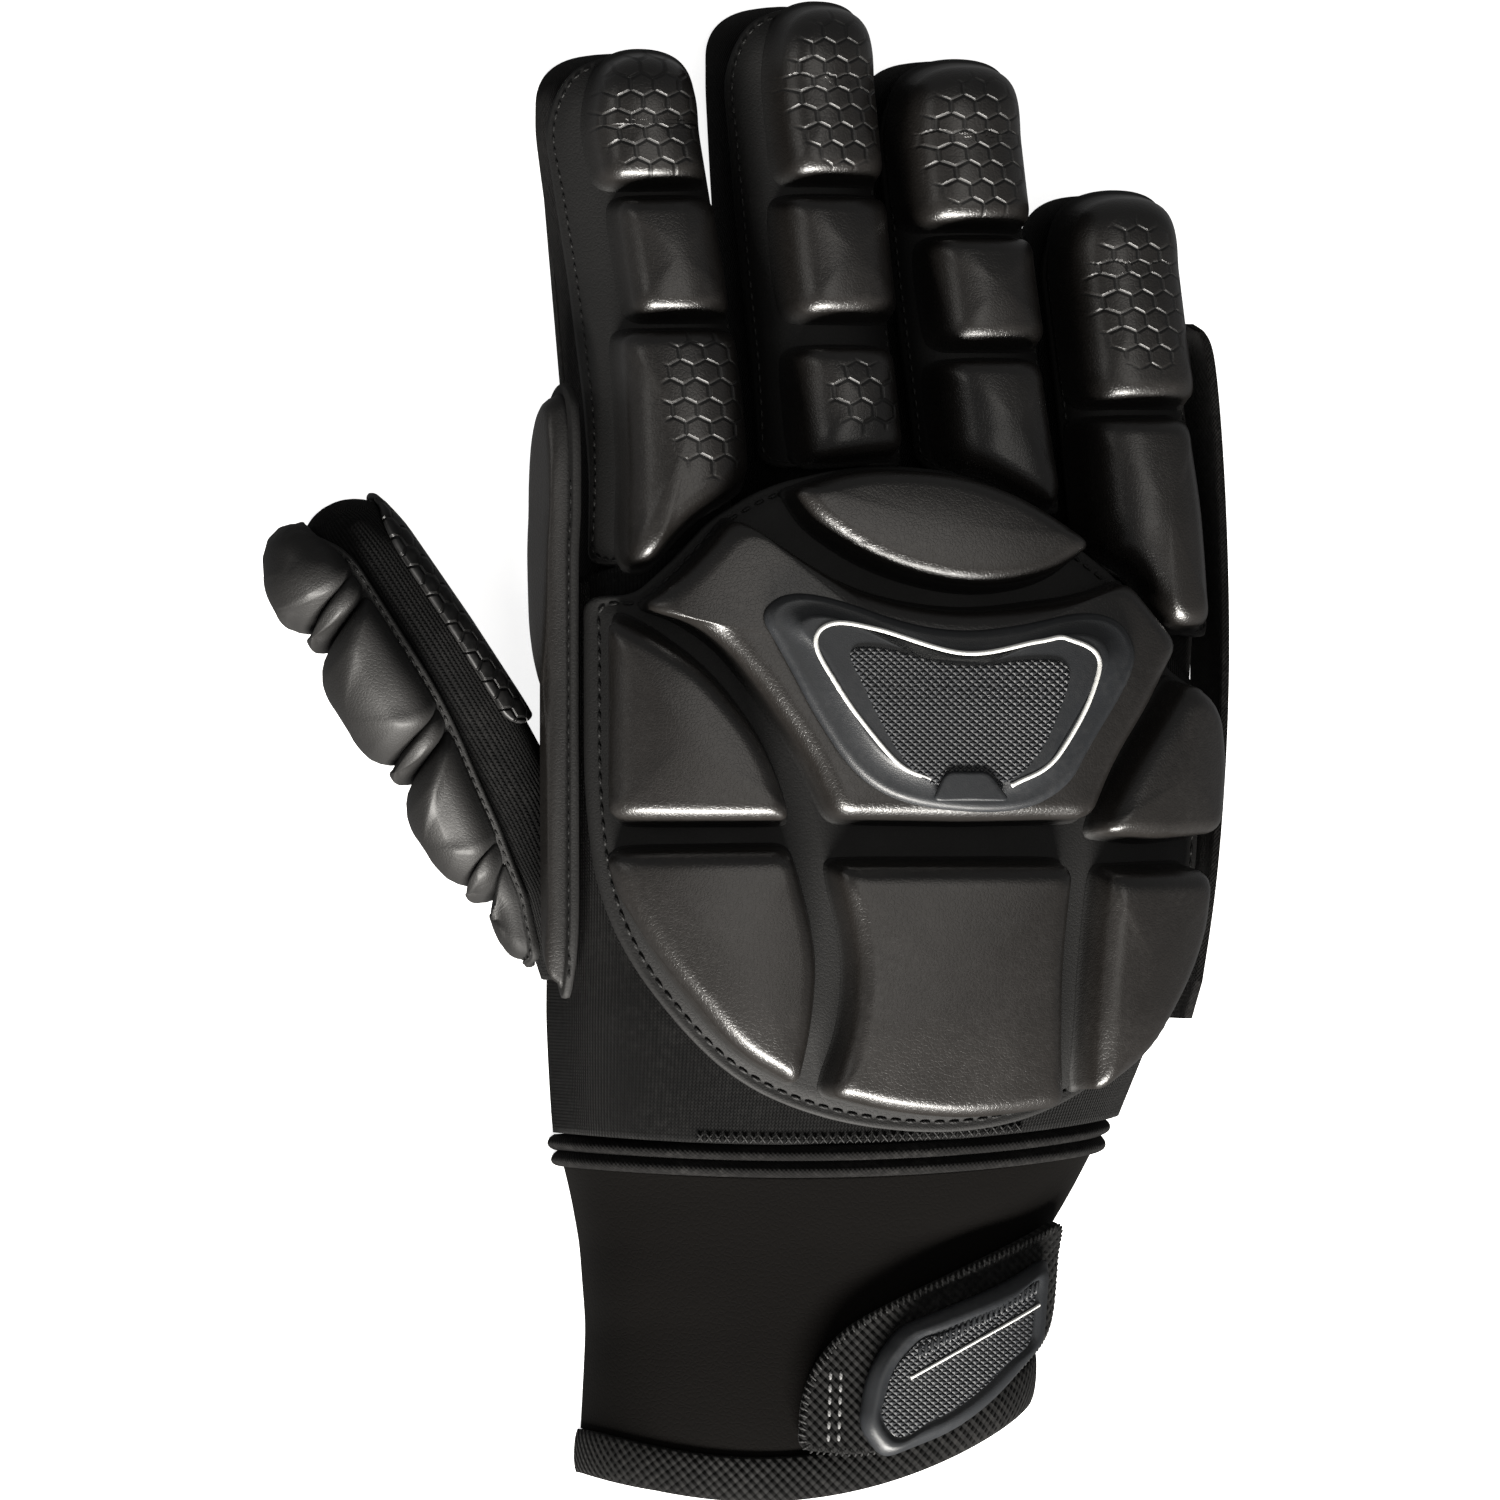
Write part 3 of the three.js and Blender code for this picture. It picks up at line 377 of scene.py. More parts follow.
# %% Bodies from rings
def ring_body(surface, outline, profile, top, rings=16, crown=0.0):
    """A closed body: the profile's (inset, lift) pairs carried round the outline, then rings to the
    middle on the top and below. crown lifts the middle. rise is 0 on a pad's flange and 1 on its tops."""
    ways, room, middle = inward(outline)
    loops, lifts = [], []
    for inset, lift in profile:
        loops.append(outline + ways * np.minimum(inset, room * 0.85)[:, None])
        lifts.append(np.full(len(outline), lift))
    first, last = loops[0], loops[-1]
    shares = (np.arange(1, rings + 1) / (rings + 0.4))
    for s in shares:
        loops.append(last + (middle - last) * s)
        lifts.append(np.full(len(outline), top + crown * (1 - (1 - s) ** 2)))
    low = [(first + (middle - first) * s, np.full(len(outline), profile[0][1])) for s in shares[::2][::-1]]
    loops = [p for p, _ in low] + loops
    lifts = [h for _, h in low] + lifts
    flat, lift = np.array(loops), np.array(lifts)
    ends = surface(np.full(2, middle[0]), np.full(2, middle[1]), np.array([lift[0, 0], lift[-1, 0]]))
    points = surface(flat[..., 0], flat[..., 1], lift)
    body = closed_rings(points, ends, flat, middle)
    # rise is also the mask of the pads' painted shade: their material darkens the low parts by it.
    body.rise = np.clip((np.r_[lift.ravel(), lift[0, 0], lift[-1, 0]] - 2.6) / 3, 0, 1)
    return body


def closed_rings(points, ends, flat, middle):
    """Rings joined by quads and a fan over each end; the drawing's own coordinates become the UV map."""
    rows, columns = points.shape[:2]
    quads = ring_quads(rows, columns)
    i = np.arange(columns)
    j = (i + 1) % columns
    first, last = np.full(columns, rows * columns), np.full(columns, rows * columns + 1)
    top = (rows - 1) * columns
    fans = np.vstack([np.stack([first, j, i], 1), np.stack([last, top + i, top + j], 1)])
    vertices = np.vstack([points.reshape(-1, 3), ends])
    uv = np.vstack([flat.reshape(-1, 2), middle, middle])
    return SimpleNamespace(points=vertices, quads=quads, triangles=fans, uv=uv)


def ring_quads(rows, columns, wrap=True):
    """The four corners of every cell of a grid whose columns may close on themselves."""
    r, c = np.meshgrid(np.arange(rows - 1), np.arange(columns if wrap else columns - 1), indexing="ij")
    r, c, n = r.ravel(), c.ravel(), (c.ravel() + 1) % columns
    return np.stack([r * columns + c, r * columns + n, (r + 1) * columns + n, (r + 1) * columns + c], 1)


def shell(outer, inner, uv, wrap=False):
    """A wall between two grids of the same size, closed along its rims."""
    rows, columns = outer.shape[:2]
    count = rows * columns
    face = ring_quads(rows, columns, wrap)
    i = np.arange(columns if wrap else columns - 1)
    j = (i + 1) % columns
    rims = [np.stack([i, i + count, j + count, j], 1),
            np.stack([(rows - 1) * columns + v for v in (j, j + count, i + count, i)], 1)]
    if not wrap:
        r = np.arange(rows - 1) * columns
        e = r + columns - 1
        rims += [np.stack([r, r + columns, r + columns + count, r + count], 1),
                 np.stack([e, e + count, e + columns + count, e + columns], 1)]
    points = np.vstack([outer.reshape(-1, 3), inner.reshape(-1, 3)])
    quads = np.vstack([face, face[:, ::-1] + count, *rims])
    return SimpleNamespace(points=points, quads=quads, triangles=np.zeros((0, 3), int),
                           uv=np.vstack([uv.reshape(-1, 2)] * 2))


test_body = ring_body(flat_over, rounded([(0, 0), (9, 0), (9, 9), (0, 9)]), [(0, 0), (0, 1)], 1)
print("a small square pad has", len(test_body.points), "points")

# %% [markdown]
# ## From arrays to Blender objects
# A mesh is three lists: points, faces and the UV of each face corner. Several bodies can be put in one
# object, as the seven blocks of the back pad are one moulding. The signed volume tells whether a body's
# faces point out, and if they don't, every face is turned round.

# %% Mesh helpers
def volume_of(body):
    """Signed volume: the sum of the tetrahedra between the origin and each triangle."""
    q, t = body.quads, body.triangles
    triangles = np.vstack([q[:, :3], q[:, [0, 2, 3]], t])
    a, b, c = (body.points[triangles[:, k]] for k in range(3))
    return np.einsum("ij,ij->i", a, np.cross(b, c)).sum() / 6


def outward(body):
    """The body with its faces turned out."""
    if volume_of(body) < 0:
        body.quads, body.triangles = body.quads[:, ::-1], body.triangles[:, ::-1]
    return body


def joined(bodies):
    """Several bodies as one."""
    starts = np.cumsum([0] + [len(b.points) for b in bodies])
    return SimpleNamespace(
        points=np.vstack([b.points for b in bodies]), uv=np.vstack([b.uv for b in bodies]),
        quads=np.vstack([b.quads + s for b, s in zip(bodies, starts)]),
        triangles=np.vstack([b.triangles + s for b, s in zip(bodies, starts)]),
        marks={key: np.concatenate([getattr(b, key, np.zeros(len(b.points))) for b in bodies])
               for key in ("emboss", "rise")})


def make(name, bodies, material, replaces=(), smooth=True):
    """A Blender object from bodies in millimetres, riding on the glove."""
    body = joined([outward(b) for b in bodies])
    mesh = bpy.data.meshes.new(name)
    faces = body.quads.tolist() + body.triangles.tolist()
    mesh.from_pydata(((body.points + CENTRE) * MM).tolist(), [], faces)
    uv_map = mesh.uv_layers.new(name="flat")
    corners = np.zeros(len(mesh.loops), dtype=np.int32)
    mesh.loops.foreach_get("vertex_index", corners)
    uv_map.data.foreach_set("uv", (body.uv[corners] * MM).astype(np.float32).ravel())
    for key, values in body.marks.items():
        mesh.attributes.new(key, "FLOAT", "POINT").data.foreach_set("value", values.astype(np.float32))
    mesh.polygons.foreach_set("use_smooth", np.full(len(mesh.polygons), smooth))
    mesh.materials.append(material)
    mesh.update()
    piece = bpy.data.objects.new(name, mesh)
    bpy.context.scene.collection.objects.link(piece)
    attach(piece, "root")
    if replaces:
        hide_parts(*replaces)
    print("%s: %d faces" % (name, len(faces)))
    return piece


print("mesh helpers are ready")

# %% [markdown]
# ## Profiles
# Two profiles serve nearly all bodies: the side of a pressed foam block, and the edge of a thin sheet. Each
# is a list of steps, how far in from the outline and how high, from the foot to the top.

# %% Profiles
def shoulder_profile(foot, seat, top, radius=3.3, draft=-0.3):
    """A pressed foam block: a fillet at the foot, a drafted wall and a quarter-round shoulder. The wall
    stands a millimetre outside the drawn outline, so the grooves stay narrow."""
    turn = np.linspace(0, np.pi / 2, 9)
    wall = [(0.3, foot), (-1.7, seat - 0.25), (-1.3, seat + 0.15), (-1.0, seat + 0.7), (-0.85, seat + 1.6)]
    high = [(draft + radius * (1 - np.cos(a)) ** 0.9, top - radius * (1 - np.sin(a))) for a in turn]
    return wall + high


def edge_profile(low, high, edge=0.35):
    """A thin sheet's rounded edge."""
    return [(edge * 1.2, low), (0.1, low + edge * 0.5), (0.0, (low + high) / 2), (0.1, high - edge * 0.5),
            (edge * 1.2, high)]


def embossed(body, patch):
    """Marks the points of a block's top that carry the pressed pattern: a soft-edged ellipse."""
    if patch is None:
        return body
    x, y, wide, long = patch
    far = np.hypot((body.uv[:, 0] - x) / wide, (body.uv[:, 1] - y) / long)
    body.emboss = np.clip((1.12 - far) / 0.25, 0, 1)
    return body


print("a block's side has", len(shoulder_profile(BLOCK_FOOT, FLANGE_TOP, BACK_TOP)), "steps")

# %% [markdown]
# ## Finishes
# The pads are synthetic leather over foam: nearly black brown, satin, with a fine grain. The fabrics are
# matt, the rubber is slightly bluish. Each pattern is a small node group with named sockets, so one group
# serves several materials: a grain, a rib, a hexagon net, a diamond net, a twill and a dust layer.

# %% Node helpers
def add(tree, kind, values=None, **settings):
    """A node with its settings, and its inputs linked or set."""
    node = tree.nodes.new(kind)
    for key, value in settings.items():
        setattr(node, key, value)
    for key, value in (values or {}).items():
        if isinstance(value, bpy.types.NodeSocket):
            tree.links.new(value, node.inputs[key])
        else:
            node.inputs[key].default_value = value
    return node


def maths(tree, operation, *values):
    """One step of arithmetic."""
    node = add(tree, "ShaderNodeMath", dict(enumerate(values)), operation=operation)
    return node.outputs[0]


def vectors(tree, operation, *values):
    """One step of vector arithmetic."""
    node = add(tree, "ShaderNodeVectorMath", dict(enumerate(values)), operation=operation)
    return node.outputs["Value" if operation in ("DOT_PRODUCT", "LENGTH") else "Vector"]


def thrice(tree, value):
    """A vector that holds one value three times."""
    return add(tree, "ShaderNodeCombineXYZ", {0: value, 1: value, 2: value}).outputs[0]


def ramp(tree, value, low, high):
    """0 below low, 1 above high, eased between."""
    node = add(tree, "ShaderNodeMapRange", {0: value, 1: low, 2: high}, interpolation_type="SMOOTHSTEP")
    return node.outputs[0]


def group(name, size_name, size, outputs=("Height", "Tone")):
    """An empty node group: a place and a size come in, and named values go out."""
    tree = bpy.data.node_groups.new(name, "ShaderNodeTree")
    tree.interface.new_socket("Place", in_out="INPUT", socket_type="NodeSocketVector")
    tree.interface.new_socket(size_name, in_out="INPUT", socket_type="NodeSocketFloat").default_value = size
    for label in outputs:
        tree.interface.new_socket(label, in_out="OUTPUT", socket_type="NodeSocketFloat")
    start, end = tree.nodes.new("NodeGroupInput"), tree.nodes.new("NodeGroupOutput")
    return tree, start.outputs, end.inputs


print("node helpers are ready")

# %% [markdown]
# Image textures could hold these patterns, but worked-out ones stay sharp at any distance and need no
# files. Each reads a place, which is a piece's own flat drawing or the object's coordinates, and gives a
# height for the bump and a tone for the colour. In the ribs, the nets and the twill the tone is painted
# shade: darker where the relief is low.

# %% Pattern groups
def grain_group():
    """Leather grain: small cells with sunk edges, and a tone that changes slowly at random."""
    tree, i, o = group("leather grain", "Cell", 0.0006)
    scaled = vectors(tree, "DIVIDE", i["Place"], thrice(tree, i["Cell"]))
    bent = add(tree, "ShaderNodeTexNoise", {"Vector": scaled, "Scale": 0.6, "Detail": 2.0})
    moved = vectors(tree, "ADD", scaled, vectors(tree, "SCALE", bent.outputs["Color"]))
    cells = add(tree, "ShaderNodeTexVoronoi", {"Vector": moved, "Scale": 1.0}, feature="DISTANCE_TO_EDGE")
    tree.links.new(ramp(tree, cells.outputs["Distance"], 0.0, 0.22), o["Height"])
    slow = add(tree, "ShaderNodeTexNoise",
               {"Vector": i["Place"], "Scale": 90.0, "Detail": 4.0, "Roughness": 0.6})
    tree.links.new(slow.outputs["Fac"], o["Tone"])
    return tree


def rib_group():
    """Knitted ribs along V: rounded ridges, each crossed by small stitches."""
    tree, i, o = group("knit ribs", "Pitch", 0.0007)
    parts = add(tree, "ShaderNodeSeparateXYZ", {0: i["Place"]})
    across = maths(tree, "DIVIDE", parts.outputs["X"], i["Pitch"])
    along = maths(tree, "DIVIDE", parts.outputs["Y"], maths(tree, "MULTIPLY", i["Pitch"], 0.9))
    ridge = maths(tree, "ABSOLUTE", maths(tree, "SINE", maths(tree, "MULTIPLY", across, np.pi)))
    bent = maths(tree, "MULTIPLY_ADD", ridge, 0.7, along)
    stitch = maths(tree, "SINE", maths(tree, "MULTIPLY", bent, 2 * np.pi))
    height = maths(tree, "MULTIPLY_ADD", stitch, 0.12, ridge)
    tree.links.new(height, o["Height"])
    # Painted shade: the tone is light on the ridges and dark in the valleys between them, broken by fine
    # noise.
    fuzz = add(tree, "ShaderNodeTexNoise", {"Vector": i["Place"], "Scale": 1500.0, "Detail": 2.0})
    tree.links.new(maths(tree, "MULTIPLY", ridge, fuzz.outputs["Fac"]), o["Tone"])
    return tree


ROOT3 = 1.7320508
FLAT_ONLY = (1.0, 1.0, 0.0)


def hexagon_group():
    """A net of hexagons: the nearer of two offset lattices gives the cell, its edge is a sunk line."""
    tree, i, o = group("hexagon net", "Cell", 0.0024)
    scaled = vectors(tree, "DIVIDE", i["Place"], thrice(tree, i["Cell"]))
    flat = vectors(tree, "MULTIPLY", scaled, FLAT_ONLY)
    lattices = []
    for shift in (50.0, 50.5):
        moved = vectors(tree, "ADD", flat, (shift, shift * ROOT3, 0.0))
        wrapped = vectors(tree, "MODULO", moved, (1.0, ROOT3, 1.0))
        centred = vectors(tree, "SUBTRACT", wrapped, (0.5, ROOT3 / 2, 0.5))
        lattices.append(vectors(tree, "MULTIPLY", centred, FLAT_ONLY))
    nearer = maths(tree, "LESS_THAN", *(vectors(tree, "LENGTH", lattice) for lattice in lattices))
    mixed = add(tree, "ShaderNodeMix", {"Factor": nearer}, data_type="VECTOR")
    tree.links.new(lattices[1], mixed.inputs[4])
    tree.links.new(lattices[0], mixed.inputs[5])
    corner = vectors(tree, "ABSOLUTE", mixed.outputs[1])
    slanted = vectors(tree, "DOT_PRODUCT", corner, (0.5, ROOT3 / 2, 0.0))
    sideways = add(tree, "ShaderNodeSeparateXYZ", {0: corner}).outputs["X"]
    rim = maths(tree, "SUBTRACT", 0.5, maths(tree, "MAXIMUM", slanted, sideways))
    tree.links.new(ramp(tree, rim, 0.0, 0.13), o["Height"])
    # Painted shade: the tone is light in the middle of each cell and dark along its sunk edge.
    tree.links.new(maths(tree, "MULTIPLY", rim, 2.0), o["Tone"])
    return tree


def diamond_group():
    """Small pyramids in rows, as on a moulded grip: two slanted saw waves, the lower one wins."""
    tree, i, o = group("diamond net", "Cell", 0.002)
    parts = add(tree, "ShaderNodeSeparateXYZ", {0: i["Place"]})
    x = maths(tree, "DIVIDE", parts.outputs["X"], i["Cell"])
    y = maths(tree, "DIVIDE", parts.outputs["Y"], maths(tree, "MULTIPLY", i["Cell"], 0.8))
    waves = [maths(tree, "PINGPONG", maths(tree, slope, x, y), 0.5) for slope in ("ADD", "SUBTRACT")]
    low = maths(tree, "MULTIPLY", maths(tree, "MINIMUM", *waves), 2.0)
    tree.links.new(ramp(tree, low, 0.08, 0.75), o["Height"])
    # Painted shade: the tone is dark in the valleys between the pyramids.
    tree.links.new(ramp(tree, low, 0.0, 0.3), o["Tone"])
    return tree


def twill_group():
    """Twill: threads that pass over two and under two, stepping sideways each row."""
    tree, i, o = group("twill weave", "Thread", 0.0006)
    parts = add(tree, "ShaderNodeSeparateXYZ", {0: i["Place"]})
    x, y = (maths(tree, "DIVIDE", parts.outputs[k], i["Thread"]) for k in ("X", "Y"))
    step = maths(tree, "PINGPONG", maths(tree, "ADD", x, y), 1.0)
    phase = maths(tree, "MULTIPLY", maths(tree, "SUBTRACT", x, y), np.pi / 2)
    cross = maths(tree, "ABSOLUTE", maths(tree, "SINE", phase))
    height = maths(tree, "MULTIPLY_ADD", cross, 0.35, maths(tree, "MULTIPLY", step, 0.65))
    tree.links.new(height, o["Height"])
    # Painted shade: the tone is light where the threads stand high and dark where they sink, broken by fine
    # noise.
    fuzz = add(tree, "ShaderNodeTexNoise", {"Vector": i["Place"], "Scale": 900.0, "Detail": 2.0})
    tree.links.new(maths(tree, "MULTIPLY", step, fuzz.outputs["Fac"]), o["Tone"])
    return tree


def dust_group():
    """A light, uneven film: two sizes of noise, kept only where both are high."""
    tree, i, o = group("dust film", "Amount", 0.3, ["Mask"])
    wide = add(tree, "ShaderNodeTexNoise", {"Vector": i["Place"], "Scale": 60.0, "Detail": 4.0})
    fine = add(tree, "ShaderNodeTexNoise", {"Vector": i["Place"], "Scale": 900.0, "Detail": 2.0})
    both = maths(tree, "MULTIPLY", wide.outputs["Fac"], fine.outputs["Fac"])
    tree.links.new(maths(tree, "MULTIPLY", ramp(tree, both, 0.18, 0.5), i["Amount"]), o["Mask"])
    return tree


GROUPS = {"grain": grain_group(), "ribs": rib_group(), "hexagons": hexagon_group(),
          "diamonds": diamond_group(), "twill": twill_group(), "dust": dust_group()}
print("node groups:", ", ".join(GROUPS))

# %% [markdown]
# ## Materials
# Every surface here is nearly black, so the finishes differ by how they shine, not by colour. Each could have
# a node tree of its own, but one function builds them all: a pattern gives relief and tone, a dust film lies
# over it, and a few numbers say how dull or glossy it is. Pads also read two attributes of their mesh: where
# the net is pressed in, and how high above the flange a point lies. Both darken the colour: painted shade in
# the net's grooves and on the block walls, and the flange's own darker finish.

# %% Materials
SIZE_NAMES = {"grain": "Cell", "ribs": "Pitch", "hexagons": "Cell", "diamonds": "Cell", "twill": "Thread"}
DUST_COLOUR = (0.16, 0.155, 0.15, 1)


def finish(name, dark, light, rough, pattern, size, depth, place="uv", dust=0.1, sheen=0.0,
           second=None, coat=0.0, shine=0.3):
    """A material: a pattern group drives bump, a tone between two colours, and roughness.
    second = (group, size, depth) adds another pattern where the emboss attribute is set, with painted
    shade in its grooves. With it the low parts, by the rise attribute, are duller, as the pressed flange of a
    foam pad is, and darker: partly the flange's own darker finish, partly painted shade on the block walls."""
    material = bpy.data.materials.new(name)
    material.use_nodes = True
    tree = material.node_tree
    shader = tree.nodes["Principled BSDF"]
    spots = {"uv": add(tree, "ShaderNodeUVMap", uv_map="flat").outputs["UV"],
             "object": add(tree, "ShaderNodeTexCoord").outputs["Object"]}

    def use(kind, spot, **values):
        node = tree.nodes.new("ShaderNodeGroup")
        node.node_tree = GROUPS[kind]
        tree.links.new(spots[spot], node.inputs["Place"])
        for key, value in values.items():
            node.inputs[key].default_value = value
        return node

    main = use(pattern, place, **{SIZE_NAMES[pattern]: size})
    film = use("dust", "object", Amount=dust)
    base = add(tree, "ShaderNodeMix", {"Factor": main.outputs["Tone"]}, data_type="RGBA")
    base.inputs[6].default_value, base.inputs[7].default_value = (*dark, 1), (*light, 1)
    dusty = add(tree, "ShaderNodeMix", {"Factor": film.outputs["Mask"]}, data_type="RGBA")
    tree.links.new(base.outputs[2], dusty.inputs[6])
    dusty.inputs[7].default_value = DUST_COLOUR
    roughness = maths(tree, "MULTIPLY_ADD", main.outputs["Tone"], 0.14, rough - 0.07)
    roughness = maths(tree, "ADD", roughness, maths(tree, "MULTIPLY", film.outputs["Mask"], 0.3))
    colour = dusty.outputs[2]
    if second:
        rise = add(tree, "ShaderNodeAttribute", attribute_name="rise").outputs["Fac"]
        # Partly painted shade: the colour falls to 0.12 of itself where rise is 0, on the flange and the lower
        # block walls; the flange is also duller, with no coat.
        shade = maths(tree, "MULTIPLY_ADD", rise, 0.88, 0.12)
        roughness = maths(tree, "ADD", roughness, maths(tree, "MULTIPLY_ADD", rise, -0.4, 0.4))
        tree.links.new(maths(tree, "MULTIPLY", rise, coat), shader.inputs["Coat Weight"])
        kind, cell, deep = second
        extra = use(kind, "uv", **{SIZE_NAMES[kind]: cell})
        mark = add(tree, "ShaderNodeAttribute", attribute_name="emboss").outputs["Fac"]
        groove = maths(tree, "MULTIPLY", maths(tree, "SUBTRACT", extra.outputs["Height"], 1.0), mark)
        # Painted shade: the colour falls to three tenths of itself in the grooves of the pressed net.
        shade = maths(tree, "MULTIPLY", shade, maths(tree, "MULTIPLY_ADD", groove, 0.7, 1.0))
        colour = vectors(tree, "MULTIPLY", colour, thrice(tree, shade))
        roughness = maths(tree, "MULTIPLY_ADD", groove, -0.35, roughness)
    tree.links.new(colour, shader.inputs["Base Color"])
    tree.links.new(roughness, shader.inputs["Roughness"])
    bump = add(tree, "ShaderNodeBump",
               {"Height": main.outputs["Height"], "Distance": depth, "Strength": 1.0})
    if second:
        bump = add(tree, "ShaderNodeBump", {"Height": groove, "Distance": deep, "Strength": 1.0,
                                            "Normal": bump.outputs[0]})
    tree.links.new(bump.outputs[0], shader.inputs["Normal"])
    shader.inputs["Sheen Weight"].default_value = sheen
    shader.inputs["Sheen Roughness"].default_value = 0.5
    shader.inputs["Coat Weight"].default_value = coat
    shader.inputs["Coat Roughness"].default_value = 0.3
    shader.inputs["Specular IOR Level"].default_value = shine
    return material


PAD_SKIN = finish("pad skin", (0.0075, 0.0067, 0.0060), (0.0125, 0.0110, 0.0100), 0.34,
                  "grain", 0.0007, 0.00002, "object", dust=0.03,
                  second=("hexagons", 0.0036, 0.0005), coat=0.3, shine=0.45)
RIB_FABRIC = finish("ribbed knit", (0.0012, 0.0012, 0.0013), (0.008, 0.008, 0.008), 0.9,
                    "ribs", 0.0007, 0.0003, dust=0.04, sheen=0.02, shine=0.08)
PLAIN_FABRIC = finish("finger fabric", (0.002, 0.0019, 0.0019), (0.009, 0.0085, 0.0085), 0.92,
                      "twill", 0.0004, 0.00012, dust=0.06, sheen=0.02, shine=0.08)
PALM_LEATHER = finish("palm leather", (0.004, 0.004, 0.004), (0.011, 0.011, 0.011), 0.55,
                      "grain", 0.0005, 0.00004, "object", dust=0.1)
HEX_LEATHER = finish("net leather", (0.002, 0.002, 0.002), (0.006, 0.006, 0.0063), 0.5,
                     "hexagons", 0.0034, 0.0008, dust=0.1, shine=0.45)
NEOPRENE = finish("neoprene", (0.0014, 0.0011, 0.0009), (0.0030, 0.0026, 0.0023), 0.85,
                  "grain", 0.0009, 0.00002, "object", dust=0.0, sheen=0.01, shine=0.06)
WEBBING = finish("webbing", (0.001, 0.001, 0.001), (0.007, 0.007, 0.007), 0.8,
                 "twill", 0.0009, 0.0004, dust=0.06, sheen=0.02, shine=0.12)
RUBBER = finish("moulded rubber", (0.010, 0.011, 0.0125), (0.018, 0.0195, 0.022), 0.42,
                "grain", 0.0004, 0.00001, "object", dust=0.05, shine=0.4)
KNURL = finish("rubber grip", (0.003, 0.0034, 0.004), (0.022, 0.024, 0.028), 0.45,
               "diamonds", 0.0014, 0.0006, dust=0.03, shine=0.4)
THREAD = finish("black thread", (0.003, 0.003, 0.003), (0.02, 0.02, 0.02), 0.6,
                "twill", 0.0003, 0.00005, "object", dust=0.05, shine=0.2)
GREY_THREAD = finish("grey thread", (0.10, 0.10, 0.10), (0.22, 0.22, 0.22), 0.7,
                     "twill", 0.0003, 0.00005, "object", dust=0.05)
WHITE_LINE = finish("white rubber line", (0.62, 0.62, 0.60), (0.72, 0.72, 0.70), 0.45,
                    "grain", 0.0004, 0.00001, "object", dust=0.05)
print("materials:", len(bpy.data.materials))

# %% [markdown]
# ## Stitches
# A row of lockstitch is the same small thread hump again and again. One capsule is made as an array, and
# broadcasting copies it to every place along a path, turned to the path's direction, with no loop over
# points. A capsule has only a few dozen faces because there are hundreds of them.

# %% Stitch rows
def capsule(sides=6):
    """A unit capsule along its first axis: rings of a circle whose radius follows a half ellipse."""
    along = np.array([-1.0, -0.85, -0.4, 0.4, 0.85, 1.0])
    wide = np.array([0.02, 0.6, 1.0, 1.0, 0.6, 0.02])
    turn = np.arange(sides) * 2 * np.pi / sides
    across, up = wide[:, None] * np.cos(turn), wide[:, None] * np.sin(turn)
    rings = np.stack([along[:, None] + 0 * turn, across, up], -1)
    return rings.reshape(-1, 3), ring_quads(len(along), sides), sides


def stitches(surface, path, lift, pitch, long, radius, closed=True, slant=0.0):
    """Capsules along a drawn path on a surface. pitch is from stitch to stitch, long each one's length."""
    fine = resampled(path, 1500, closed)
    placed = surface(fine[:, 0], fine[:, 1], lift)
    raised = surface(fine[:, 0], fine[:, 1], lift + 1.0)
    loop = np.vstack([placed, placed[:1]]) if closed else placed
    way = np.r_[0, np.cumsum(np.linalg.norm(np.diff(loop, axis=0), axis=1))]
    count = max(2, int(way[-1] / pitch))
    middle = (np.arange(count) + 0.5) * way[-1] / count
    source = way[:len(placed)]
    centre = np.stack([np.interp(middle, source, placed[:, k]) for k in range(3)], -1)
    ahead = np.stack([np.interp(middle + 0.5, source, placed[:, k]) for k in range(3)], -1)
    behind = np.stack([np.interp(middle - 0.5, source, placed[:, k]) for k in range(3)], -1)
    up = np.stack([np.interp(middle, source, (raised - placed)[:, k]) for k in range(3)], -1)
    forward = ahead - behind
    forward /= np.linalg.norm(forward, axis=1, keepdims=True) + 1e-9
    up /= np.linalg.norm(up, axis=1, keepdims=True) + 1e-9
    side = np.cross(up, forward)
    if slant:
        c, s = np.cos(slant), np.sin(slant)
        forward, side = forward * c + side * s, side * c - forward * s
    template, quads, sides = capsule()
    points = (centre[:, None] + forward[:, None] * template[None, :, :1] * long / 2
              + side[:, None] * template[None, :, 1:2] * radius + up[:, None] * template[None, :, 2:] * radius)
    size = len(template)
    faces = (quads[None] + (np.arange(count) * size)[:, None, None]).reshape(-1, 4)
    ends = np.array([np.arange(sides)[::-1], size - sides + np.arange(sides)])
    caps = np.array([[e[0], e[k], e[k + 1]] for e in ends for k in range(1, sides - 1)])
    triangles = (caps[None] + (np.arange(count) * size)[:, None, None]).reshape(-1, 3)
    return SimpleNamespace(points=points.reshape(-1, 3), quads=faces, triangles=triangles,
                           uv=np.zeros((count * size, 2)))


def cut_area(outline):
    """Area of a drawn outline in square metres: half the sum of the cross products of its points."""
    x, y = np.asarray(outline)[:, :2].T
    return abs(np.sum(x * np.roll(y, -1) - y * np.roll(x, -1))) / 2 * MM ** 2


def inset_path(outline, inset):
    """The outline moved in by the inset."""
    ways, room, _ = inward(outline)
    return outline + ways * np.minimum(inset, room * 0.8)[:, None]


# %% [markdown]
# ## The back pad
# The back of the hand has one foam moulding with seven blocks. The flange between and around them is
# pressed flat and sewn down near its edge. The blocks stand on it, all at one height, and the grooves
# between them let the hand bend.

